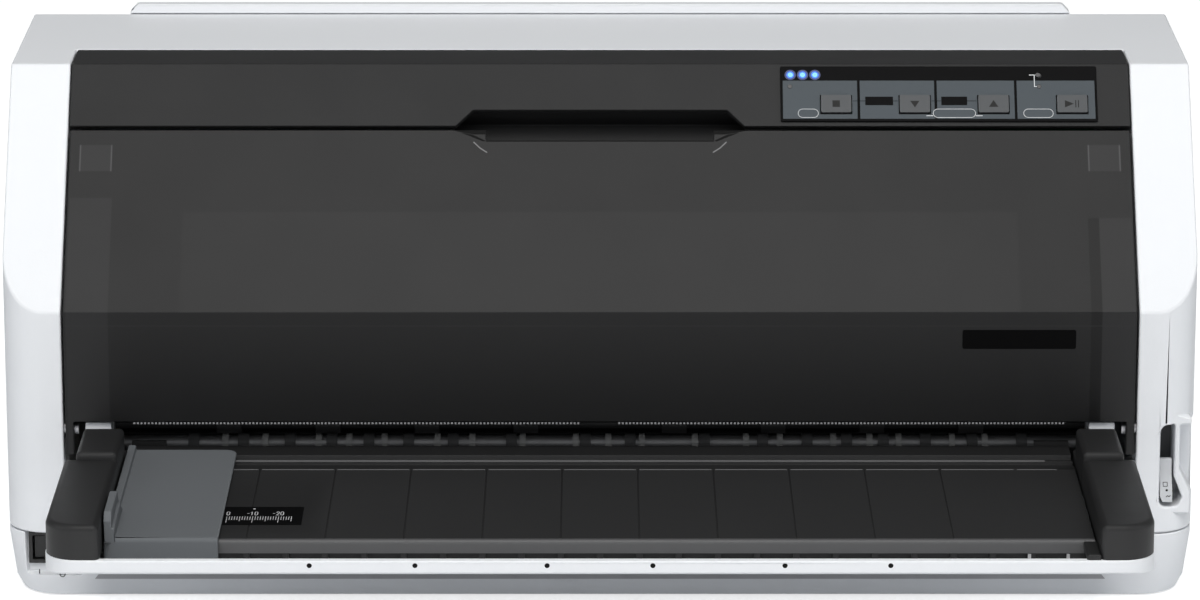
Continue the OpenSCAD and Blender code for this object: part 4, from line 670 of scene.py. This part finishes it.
def build_casing():
    edge = settings().sizes.shell_edge / MM
    softened("upper_case", "upper_shell", "casing", "casing_white", edge, 3, 32)
    softened("lower_case", "lower_shell", "casing", "casing_white", 0.5, 2, 32)
    # A grey strip on the casing front paints the shade in the step under the shelf's lip.
    band = Maker()
    band.slab(FRONT, [(-204.4, 7.7), (204.4, 7.7), (202.9, 9.6), (-202.9, 9.6)], -1.0, -0.18)
    piece("lip_shadow_band", band, "casing", "painted_shade_grey")
    dress("rubber_feet", "rubber_black")
    dress("case_screws", "steel_screw")


def build_trim():
    softened("top_trim", "trim_strip", "casing", "trim_black", 0.45, 2, 30)
    # Near-black sheets on the cover paint the shadow inside the hand recess below the trim.
    scoop = Maker()
    rim = ((46.2, 80.4), (46.2, 78.7), (50.7, 78.7), (55.5, 79.5), (59.2, 80.4))
    facet = ((51.6, 78.6), (56.4, 79.5), (47.2, 75.5), (46.4, 75.9))
    for side in (-1, 1):
        for outline in (rim, facet):
            scoop.slab(SLOPE, [(side * x, y) for x, y in outline], -0.3, 0.05)
    scoop.slab(SLOPE, rectangle(-46.2, 75.45, 46.2, 75.9), -0.3, 0.05)
    piece("scoop_painted_shadow", scoop, "cover", "black_and_painted_shade")
    # Pale strokes paint the glints along the edges of the hand recess.
    glint = Maker()
    for side in (-1, 1):
        glint.stroke(SLOPE, [(side * 51.2, 75.3), (side * 48.6, 72.6), (side * 45.7, 70.6)], 0.5, -0.2, 0.06)
    piece("scoop_glint", glint, "cover", "painted_highlight_grey")


def build_controls():
    soft = settings().sizes.small_edge / MM
    softened("control_overlay", "control_film", "casing", "film_black", 0.25, 2, 40)
    holes = [(89.7, 102.0), (121.65, 133.95), (153.6, 165.9), (185.55, 197.85)]
    fields = Maker()
    for (x0, x1), (h0, h1) in zip([(74.3, 104.5), (105.6, 135.8), (136.9, 168.3), (169.4, 201.0)], holes):
        y0, y1, b0, b1 = 85.3, 102.45, 87.7 - 0.4, 95.5 + 0.4
        outer = rectangle(x0, y0, x1, y1)
        inner = rectangle(h0 - 0.4, b0, h1 + 0.4, b1)
        fields.ring(SLOPE, outer, inner, FILM_TOP - 0.05, FILM_TOP + 0.05)
    piece("control_fields", fields, "casing", "film_field")
    lines = Maker()
    for x0, x1, y in ((102.6, 107.7, 93.3), (119.0, 121.0, 93.3), (134.6, 138.6, 93.3), (149.1, 153.0, 93.3)):
        lines.slab(SLOPE, rectangle(x0, y - 0.12, x1, y + 0.12), FILM_TOP, FILM_TOP + 0.07)
    piece("link_lines", lines, "casing", "film_black")
    marks = Maker()
    label_pills = ((80.3, 85.75, 88.7, 89.75), (135.1, 85.75, 152.5, 89.75), (171.8, 85.75, 184.0, 89.75))
    for x0, y0, x1, y1 in label_pills:
        r = (y1 - y0) / 2
        marks.ring(SLOPE, round_rectangle(x0, y0, x1, y1, r, 6),
                   round_rectangle(x0 + 0.2, y0 + 0.2, x1 - 0.2, y1 - 0.2, r - 0.2, 6),
                   FILM_TOP + 0.05, FILM_TOP + 0.13)
    for x0, x1 in ((132.4, 135.1), (152.5, 155.2)):
        marks.slab(SLOPE, rectangle(x0, 86.5, x1, 86.8), FILM_TOP + 0.05, FILM_TOP + 0.1)
    lamp_lines = ((174.6, 104.85, 178.0, 105.15), (176.5, 99.7, 176.8, 105.15), (176.5, 99.65, 178.0, 99.95))
    for a, b, c, d in lamp_lines:
        marks.slab(SLOPE, rectangle(a, b, c, d), FILM_TOP, FILM_TOP + 0.08)
    piece("panel_marks", marks, "casing", "film_white")
    fills = Maker()
    fills.slab(SLOPE, round_rectangle(135.3, 85.95, 152.3, 89.55, 1.8, 6), FILM_TOP, FILM_TOP + 0.09)
    piece("panel_pill", fills, "casing", "film_field")
    boxes = Maker()
    for x0, x1 in ((107.7, 119.0), (138.6, 149.1)):
        boxes.slab(SLOPE, rectangle(x0, 91.4, x1, 95.2), FILM_TOP, FILM_TOP + 0.1)
    piece("panel_boxes", boxes, "casing", "film_black")
    for k, (node, shape) in enumerate((("button_square", "square"), ("button_down", "down"),
                                       ("button_up", "up"), ("button_play", "play"))):
        softened(node, "cap_" + shape, node, "button_grey", soft, 3, 40)
        x, y = 95.85 + 31.95 * k, 91.65
        sign = Maker()
        for outline in button_sign(shape, x, y):
            sign.slab(SLOPE, outline, FILM_TOP + 0.85, FILM_TOP + 0.93)
        piece("sign_" + shape, sign, node, "button_mark")
    dress("panel_board", "board_green")


def button_sign(shape, x, y):
    """Outlines of the plain sign on a button."""
    if shape == "square":
        return [rectangle(x - 1.5, y - 1.4, x + 1.5, y + 1.5)]
    if shape == "down":
        return [[(x, y - 1.6), (x + 1.9, y + 1.3), (x - 1.9, y + 1.3)]]
    if shape == "up":
        return [[(x - 1.9, y - 1.4), (x + 1.9, y - 1.4), (x, y + 1.7)]]
    return [[(x - 3.0, y - 1.6), (x + 0.6, y), (x - 3.0, y + 1.6)],
            rectangle(x + 1.2, y - 1.6, x + 1.6, y + 1.6), rectangle(x + 2.3, y - 1.6, x + 2.7, y + 1.6)]


def build_lamps():
    dress("lamps_lit", "lens_lit")
    dress("lamps_dark", "lens_dark")
    lit, halos, blooms, dark = Maker(), Maker(), Maker(), Maker()
    core, halo, bloom = 1.05, 1.6, 2.3
    for x, y in LIT_LAMPS:
        lit.slab(SLOPE, disc(x, y, core), FILM_TOP, 0.98)
        halos.ring(SLOPE, disc(x, y, halo), disc(x, y, core), FILM_TOP, 0.95)
        blooms.ring(SLOPE, disc(x, y, bloom), disc(x, y, halo), FILM_TOP, 0.92)
    for x, y in DARK_LAMPS:
        dark.slab(SLOPE, disc(x, y, 0.95), FILM_TOP, 1.0)
    piece("lens_caps_lit", lit, "casing", "lens_lit")
    piece("lamp_halos", halos, "casing", "halo_blue")
    piece("lamp_blooms", blooms, "casing", "bloom_blue")
    piece("lens_caps_dark", dark, "casing", "lens_dark", 0.15, 2)


def build_cover():
    softened("front_cover", "cover_shell", "cover", "cover_smoked", 0.45, 2, 25, split=True)
    dress("tear_edge", "black_and_painted_shade")
    # Pale marks along the tear edge paint the glints on the teeth's tips.
    teeth = Maker()
    for side, start, stop in ((-1, 8, 188), (1, 7, 188)):
        for k in range(int((stop - start) / TOOTH_PITCH)):
            x = side * (start + (k + 0.5) * TOOTH_PITCH)
            teeth.slab(FRONT, rectangle(x - 0.37, 72.95, x + 0.37, 73.72), -0.3, 0.05)
    piece("tooth_tip_glints", teeth, "cover", "tooth_painted_glint")
    dress("cover_pins", "steel_screw")
    plate = Maker()
    plate.slab(FRONT, round_rectangle(145.0, 104.3, 190.5, 112.2, 0.8), -0.1, 0.12)
    piece("blank_plate", plate, "cover", "plate_black", 0.06, 2)


def build_shelf():
    softened("tray_shell", "shelf_shell", "casing", "casing_white", 0.7, 3, 32, split=True)
    # Near-black plugs paint the shade inside the holes of the shelf's lip.
    hole_shades = Maker()
    for x in LIP_HOLES:
        hole_shades.rod((x, -184.7, 58.0), (x, -183.4, 58.0), 0.98)
    piece("lip_hole_shades", hole_shades, "casing", "black_and_painted_shade")
    softened("tray_table", "paper_table", "casing", "shelf_black", 0.12, 2, 40)
    for side, name in ((-1, "left"), (1, "right")):
        arm = Maker()
        arm.cushion(ARM_IN, ARM_OUT, -184.15, -95.0, LIP_Z, 73.5, (13, 1, 1, 2.4), 2.6, side=side)
        arm.cushion(ARM_IN, ARM_BLOCK_OUT, -97.5, -62.0, LIP_Z, 76.5, (2, 1.5, 1.5, 2), 2.2, side=side)
        arm.cushion(189.9, 205.7, -62.2, -47.2, 57.0, 62.9, (1, 1, 1, 1), 0.8, side=side)
        obj = piece("shelf_arm_" + name, arm, "casing", "shelf_black", angle=40)
        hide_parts("tray_arm_" + name)
    corner = Maker()
    corner.cushion(184.3, 189.7, -184.0, -166.2, LIP_Z, TABLE_Z, (0.4, 0.4, 0.4, 1.2), 0.9)
    piece("shelf_corner", corner, "casing", "shelf_black", angle=40)
    # The bar's lighter grey paints the highlight on the table's rounded front edge; the bar is the table's
    # black plastic.
    bar = Maker()
    bar.slab(SIDE, [(-166.12, 57.0), (-166.12, 60.6), (-165.9, 61.4), (-165.4, 61.9), (-164.6, 62.06),
                    (-163.6, 62.06), (-163.6, 57.0)], -188.8, 188.8)
    piece("front_bar", bar, "casing", "bar_painted_highlight")
    # Light grey strips on the table's two ridges paint the highlights along their edges.
    beads = Maker()
    for k in range(-6, 6):
        x0, x1 = max(30 * k + 15 + 0.7, -188), min(30 * k + 45 - 0.7, 181.5)
        beads.slab(LEVEL, rectangle(x0, -73.5, x1, -72.6), 62.3, 62.38)
    for x0, x1, y0, y1 in ((-188, -165.7, -73.5, -72.6), (-177.7, 177.7, -59.9, -58.9)):
        beads.slab(LEVEL, rectangle(x0, y0, x1, y1), 61.5, 62.0 if y0 > -60 else 62.38)
    piece("ridge_highlight_beads", beads, "casing", "painted_highlight_grey")
    posts = Maker()
    for x in (163.9, 178.7):
        posts.box(x - 0.6, x + 0.6, -166.15, -165.0, 54.3, 56.7)
    piece("slot_glints", posts, "casing", "glint_pale")
    softened("edge_guide", "guide_plate", "edge_guide", "guide_grey", 0.5, 3, 20)


DIGITS = {
    "-": [[(0.0, 2.5), (1.9, 2.5)]],
    "0": [[(0.3, 0.9), (0.3, 4.1), (1.0, 5.0), (1.9, 5.0), (2.6, 4.1), (2.6, 0.9), (1.9, 0.0), (1.0, 0.0),
           (0.3, 0.9)]],
    "1": [[(0.3, 3.9), (1.4, 5.0), (1.4, 0.0)]],
    "2": [[(0.3, 4.0), (0.9, 5.0), (2.0, 5.0), (2.6, 4.1), (2.4, 3.0), (0.3, 0.0), (2.7, 0.0)]],
}


def write(maker, plane, text, x, y, w0, w1, size=1.0, width=0.45):
    """Plain numerals, drawn with strokes."""
    for sign in text:
        for line in DIGITS[sign]:
            maker.stroke(plane, [(x + u * size * 0.55, y + v * size) for u, v in line], width, w0, w1)
        x += (2.6 if sign == "-" else 3.5) * size * 0.55


def build_scale():
    dress("scale_strip", "film_black")
    ground = Maker()
    ground.slab(LEVEL, rectangle(-147.5, -146.0, -115.0, -122.5), 61.9, 62.08)
    piece("scale_ground", ground, "casing", "film_black")
    strip = Maker()
    for k in range(settings().sizes.scale_marks):
        x = SCALE_ZERO_X + k
        if x > SCALE_END_X:
            break
        foot = -143.0 if k % 10 == 0 else -141.4 if k % 5 == 0 else -139.6
        strip.slab(LEVEL, rectangle(x - 0.11, foot, x + 0.11, -135.2), TABLE_Z, 62.12)
    for text, x in (("0", -144.6), ("-10", -136.6), ("-20", -126.6)):
        write(strip, LEVEL, text, x, -133.4, TABLE_Z, 62.12, 0.85, 0.3)
    strip.slab(LEVEL, disc(-134.2, -125.3, 0.55, 12), TABLE_Z, 62.12)
    piece("scale_marks", strip, "casing", "film_white")


def build_switch():
    softened("power_switch", "switch_frame", "casing", "switch_black", 0.3, 2, 35)
    softened("power_rocker", "rocker_cap", "rocker", "switch_black", 0.3, 2, 35)
    marks = Maker()
    marks.slab(FRONT, rectangle(-227.0, 9.9, -226.6, 11.6), -1.0, -0.15)
    marks.ring(FRONT, disc(-217.5, 9.6, 1.2), disc(-217.5, 9.6, 0.85), -1.0, -0.15)
    piece("switch_marks", marks, "casing", "recess_grey")


def build_lever():
    dress("lever_shroud", "recess_grey")
    softened("release_lever", "lever_plate", "lever", "lever_grey", 0.2, 2, 35)
    marks = Maker()
    marks.ring(LEVER, rectangle(227.1, 2.6, 229.0, 4.6), rectangle(227.35, 2.85, 228.75, 4.35), -0.1, 0.06)
    marks.slab(LEVER, disc(228.6, 1.1, 0.5, 16), -0.1, 0.06)
    marks.stroke(FRONT, [(228.3, 42.0), (228.9, 42.6), (229.5, 42.1), (230.1, 42.7)], 0.3, -1.4, -1.02)
    piece("lever_marks", marks, "lever", "button_mark")


def build_rear():
    softened("rear_sheet_guide", "rear_guide", "rear_guide", "casing_white", 0.7, 3, 30,
             split=True)
    dress("guide_brackets", "steel_zinc")
    dress("socket_plate", "steel_zinc")
    softened("mains_inlet", "inlet_body", "casing", "switch_black", 0.3, 2, 35)


def build_feed():
    dress("front_shaft", "shaft_satin")
    dress("rear_shaft", "steel_ground")
    dress("front_rollers", "roller_grey")
    dress("rear_rollers", "rubber_black")
    for node in ("front_gear", "rear_gear", "middle_gear"):
        dress(node, "acetal_pale")
    dress("front_pinch", "inner_black")
    dress("rear_pinch", "inner_black")
    dress("roller_clips", "clip_grey")
    dress("shaft_bushes", "bronze_bush")
    dress("motor_pinion", "brass_turned")
    dress("feed_motor", "enamel_black")
    dress("paper_guides", "shelf_black")


def build_mechanism():
    for node in ("side_frame_left", "side_frame_right", "frame_bars"):
        dress(node, "steel_zinc")
    dress("platen", "steel_dark")
    dress("guide_shaft", "steel_ground")
    softened("carriage", "carriage_body", "carriage", "inner_black", 0.6, 2, 35)
    dress("print_head", "head_casting")
    dress("carriage_motor", "enamel_black")
    dress("drive_pulley", "brass_turned")
    dress("idler_pulley", "acetal_pale")
    dress("timing_belt", "rubber_black")
    softened("ribbon_cartridge", "cartridge_case", "casing", "inner_black", 0.8, 3, 30)
    dress("ribbon_band", "ribbon_inked")
    softened("ribbon_knob", "knob_turned", "ribbon_knob", "knob_blue", 0.4, 2, 40)


def build_boards():
    dress("main_board", "board_green")
    dress("power_supply", "board_brown")


# ---- stage ----


def white_to_camera(graph, shade_socket, glossy_share, into):
    """Mixes in plain white for the camera and for clear bodies, and a share of it for glossy rays."""
    rays = graph.add("ShaderNodeLightPath").outputs
    seen = graph.math("MAXIMUM", rays["Is Camera Ray"], rays["Is Transmission Ray"])
    seen = graph.math("MAXIMUM", seen, graph.math("MULTIPLY", rays["Is Glossy Ray"], glossy_share))
    mix = graph.add("ShaderNodeMixShader")
    graph.link(seen, mix.inputs[0])
    graph.link(shade_socket[0], mix.inputs[1])
    graph.link(shade_socket[1], mix.inputs[2])
    graph.link(mix.outputs[0], into)


def build_stage():
    scene = bpy.context.scene
    scene.view_settings.view_transform = "Standard"
    world = bpy.data.worlds.new("studio")
    scene.world = world
    world.use_nodes = True
    tree = world.node_tree
    g = Graph(tree)
    soft = tree.nodes["Background"]
    soft.inputs["Color"].default_value = (0.93, 0.96, 1.0, 1)
    _, behind, _ = g.parts(g.add("ShaderNodeTexCoord").outputs["Generated"])
    g.link(g.span(behind, -0.2, 0.5, 0.30, 0.08), soft.inputs["Strength"])
    white = g.add("ShaderNodeBackground")
    white.inputs["Color"].default_value = (1, 1, 1, 1)
    white_to_camera(g, (soft.outputs[0], white.outputs[0]), glossy_share=0.12,
                    into=tree.nodes["World Output"].inputs["Surface"])

    floor = Maker()
    floor.slab(LEVEL, rectangle(-4000, -4000, 4000, 4000), -2.0, 0.0)
    bm = floor.bm
    mesh = bpy.data.meshes.new("studio_floor")
    bm.to_mesh(mesh)
    bm.free()
    ground = bpy.data.objects.new("studio_floor", mesh)
    scene.collection.objects.link(ground)
    material, g, shader = start_material("floor_pale")
    made = use_group(g, "Moulded grain", Colour=(0.86, 0.87, 0.88, 1), Grain_scale=40.0, Shade_change=0.01,
                     Roughness=0.8)
    g.link(made["Colour"], shader.inputs["Base Color"])
    g.link(made["Roughness"], shader.inputs["Roughness"])
    shader.inputs["Specular IOR Level"].default_value = 0.1
    glow = g.add("ShaderNodeEmission")
    glow.inputs["Color"].default_value = (1, 1, 1, 1)
    rays = g.add("ShaderNodeLightPath").outputs
    seen = g.math("MULTIPLY_ADD", rays["Is Glossy Ray"], 0.25,
                  g.math("MULTIPLY", rays["Is Camera Ray"], 0.66))
    g.link(g.math("MULTIPLY_ADD", rays["Is Transmission Ray"], 0.6, seen), glow.inputs["Strength"])
    both = g.add("ShaderNodeAddShader")
    g.link(shader.outputs[0], both.inputs[0])
    g.link(glow.outputs[0], both.inputs[1])
    g.link(both.outputs[0], material.node_tree.nodes["Material Output"].inputs["Surface"])
    mesh.materials.append(material)

    add_lamp("key_softbox", (0.0, -1.26, 1.90), (0.0, -0.02, 0.10), 1.5, 1.1, 37.0, (1.0, 0.99, 0.97),
             glossy=False)
    sheen = add_lamp("key_sheen", (0.0, -0.96, 2.03), (0.0, -0.01, 0.16), 1.5, 0.9, 11.0, (1.0, 0.99, 0.97))
    sheen.visible_diffuse = False
    add_lamp("low_fill", (0.0, -2.0, 0.22), (0.0, -0.05, 0.03), 1.6, 0.3, 2.5, (0.98, 0.99, 1.0))
    add_lamp("fill_left", (-1.7, -0.6, 0.9), (0.0, 0.0, 0.08), 1.0, 1.0, 4.0, (0.96, 0.98, 1.0))
    add_lamp("fill_right", (1.7, -0.6, 0.9), (0.0, 0.0, 0.08), 1.0, 1.0, 4.0, (0.96, 0.98, 1.0))

    camera = bpy.data.cameras.new("view")
    camera.sensor_width = 36
    camera.lens = 167.37
    camera.clip_end = 50
    holder = bpy.data.objects.new("view", camera)
    holder.location = (0, -2.197, 0.7012)
    holder.rotation_euler = (math.radians(75), 0, 0)
    scene.collection.objects.link(holder)
    scene.camera = holder


def add_lamp(name, place, target, width, height, power, colour, glossy=True):
    light = bpy.data.lights.new(name, "AREA")
    light.shape = "RECTANGLE"
    light.size = width
    light.size_y = height
    light.energy = power
    light.color = colour
    holder = bpy.data.objects.new(name, light)
    holder.location = place
    holder.visible_glossy = glossy
    holder.rotation_euler = (Vector(target) - Vector(place)).to_track_quat("-Z", "Y").to_euler()
    bpy.context.scene.collection.objects.link(holder)
    return holder


# ---- operators ----


class PRINTER_OT_finishes(Operator):
    """Makes the materials that the pieces take"""

    bl_idname = "printer.finishes"
    bl_label = "Finishes"

    def execute(self, context):
        build_finishes()
        return {"FINISHED"}


class PRINTER_OT_casing(Operator):
    """Makes the white casing with its feet and screws"""

    bl_idname = "printer.casing"
    bl_label = "Casing"

    def execute(self, context):
        build_casing()
        return {"FINISHED"}


class PRINTER_OT_trim(Operator):
    """Makes the black strip above the cover"""

    bl_idname = "printer.trim"
    bl_label = "Trim"

    def execute(self, context):
        build_trim()
        return {"FINISHED"}


class PRINTER_OT_controls(Operator):
    """Makes the control film, its fields and the four buttons"""

    bl_idname = "printer.controls"
    bl_label = "Controls"

    def execute(self, context):
        build_controls()
        return {"FINISHED"}


class PRINTER_OT_lamps(Operator):
    """Makes the lit and the dark lamps"""

    bl_idname = "printer.lamps"
    bl_label = "Lamps"

    def execute(self, context):
        build_lamps()
        return {"FINISHED"}


class PRINTER_OT_cover(Operator):
    """Makes the smoked cover, its tear edge and its pins"""

    bl_idname = "printer.cover"
    bl_label = "Cover"

    def execute(self, context):
        build_cover()
        return {"FINISHED"}


class PRINTER_OT_shelf(Operator):
    """Makes the paper shelf, its arms and the edge guide"""

    bl_idname = "printer.shelf"
    bl_label = "Paper shelf"

    def execute(self, context):
        build_shelf()
        return {"FINISHED"}


class PRINTER_OT_scale(Operator):
    """Makes the millimetre scale"""

    bl_idname = "printer.scale"
    bl_label = "Scale"

    def execute(self, context):
        build_scale()
        return {"FINISHED"}


class PRINTER_OT_switch(Operator):
    """Makes the power switch"""

    bl_idname = "printer.switch"
    bl_label = "Power switch"

    def execute(self, context):
        build_switch()
        return {"FINISHED"}


class PRINTER_OT_lever(Operator):
    """Makes the release lever in its notch"""

    bl_idname = "printer.lever"
    bl_label = "Release lever"

    def execute(self, context):
        build_lever()
        return {"FINISHED"}


class PRINTER_OT_rear(Operator):
    """Makes the rear sheet guide and the sockets"""

    bl_idname = "printer.rear"
    bl_label = "Rear"

    def execute(self, context):
        build_rear()
        return {"FINISHED"}


class PRINTER_OT_feed(Operator):
    """Dresses the shafts, rollers, gears and motor that move the paper"""

    bl_idname = "printer.feed"
    bl_label = "Paper feed"

    def execute(self, context):
        build_feed()
        return {"FINISHED"}


class PRINTER_OT_mechanism(Operator):
    """Dresses the frame, carriage, belt and ribbon"""

    bl_idname = "printer.mechanism"
    bl_label = "Print mechanism"

    def execute(self, context):
        build_mechanism()
        return {"FINISHED"}


class PRINTER_OT_boards(Operator):
    """Dresses the circuit boards"""

    bl_idname = "printer.boards"
    bl_label = "Boards"

    def execute(self, context):
        build_boards()
        return {"FINISHED"}


class PRINTER_OT_stage(Operator):
    """Makes the floor, the lights, the world and the camera"""

    bl_idname = "printer.stage"
    bl_label = "Stage"

    def execute(self, context):
        build_stage()
        return {"FINISHED"}


STEPS = (PRINTER_OT_finishes, PRINTER_OT_casing, PRINTER_OT_trim, PRINTER_OT_controls, PRINTER_OT_lamps,
         PRINTER_OT_cover, PRINTER_OT_shelf, PRINTER_OT_scale, PRINTER_OT_switch, PRINTER_OT_lever,
         PRINTER_OT_rear, PRINTER_OT_feed, PRINTER_OT_mechanism, PRINTER_OT_boards, PRINTER_OT_stage)


class PRINTER_PT_looks(Panel):
    """Lists the settings and the steps that build the printer's looks"""

    bl_idname = "PRINTER_PT_looks"
    bl_label = "Dot Matrix Printer"
    bl_space_type = "VIEW_3D"
    bl_region_type = "UI"
    bl_category = "Printer"

    def draw(self, context):
        looks = context.scene.printer_looks
        for group in (looks.colours, looks.sizes):
            column = self.layout.column()
            for name in group.__annotations__:
                column.prop(group, name)
        for step in STEPS:
            self.layout.operator(step.bl_idname)


CLASSES = (PrinterColours, PrinterSizes, PrinterSettings, *STEPS, PRINTER_PT_looks)


def register():
    for cls in CLASSES:
        bpy.utils.register_class(cls)
    bpy.types.Scene.printer_looks = PointerProperty(type=PrinterSettings)


def unregister():
    del bpy.types.Scene.printer_looks
    for cls in reversed(CLASSES):
        bpy.utils.unregister_class(cls)


def main():
    register()
    for step in STEPS:
        group, name = step.bl_idname.split(".")
        getattr(getattr(bpy.ops, group), name)()


if __name__ == "__main__":
    main()
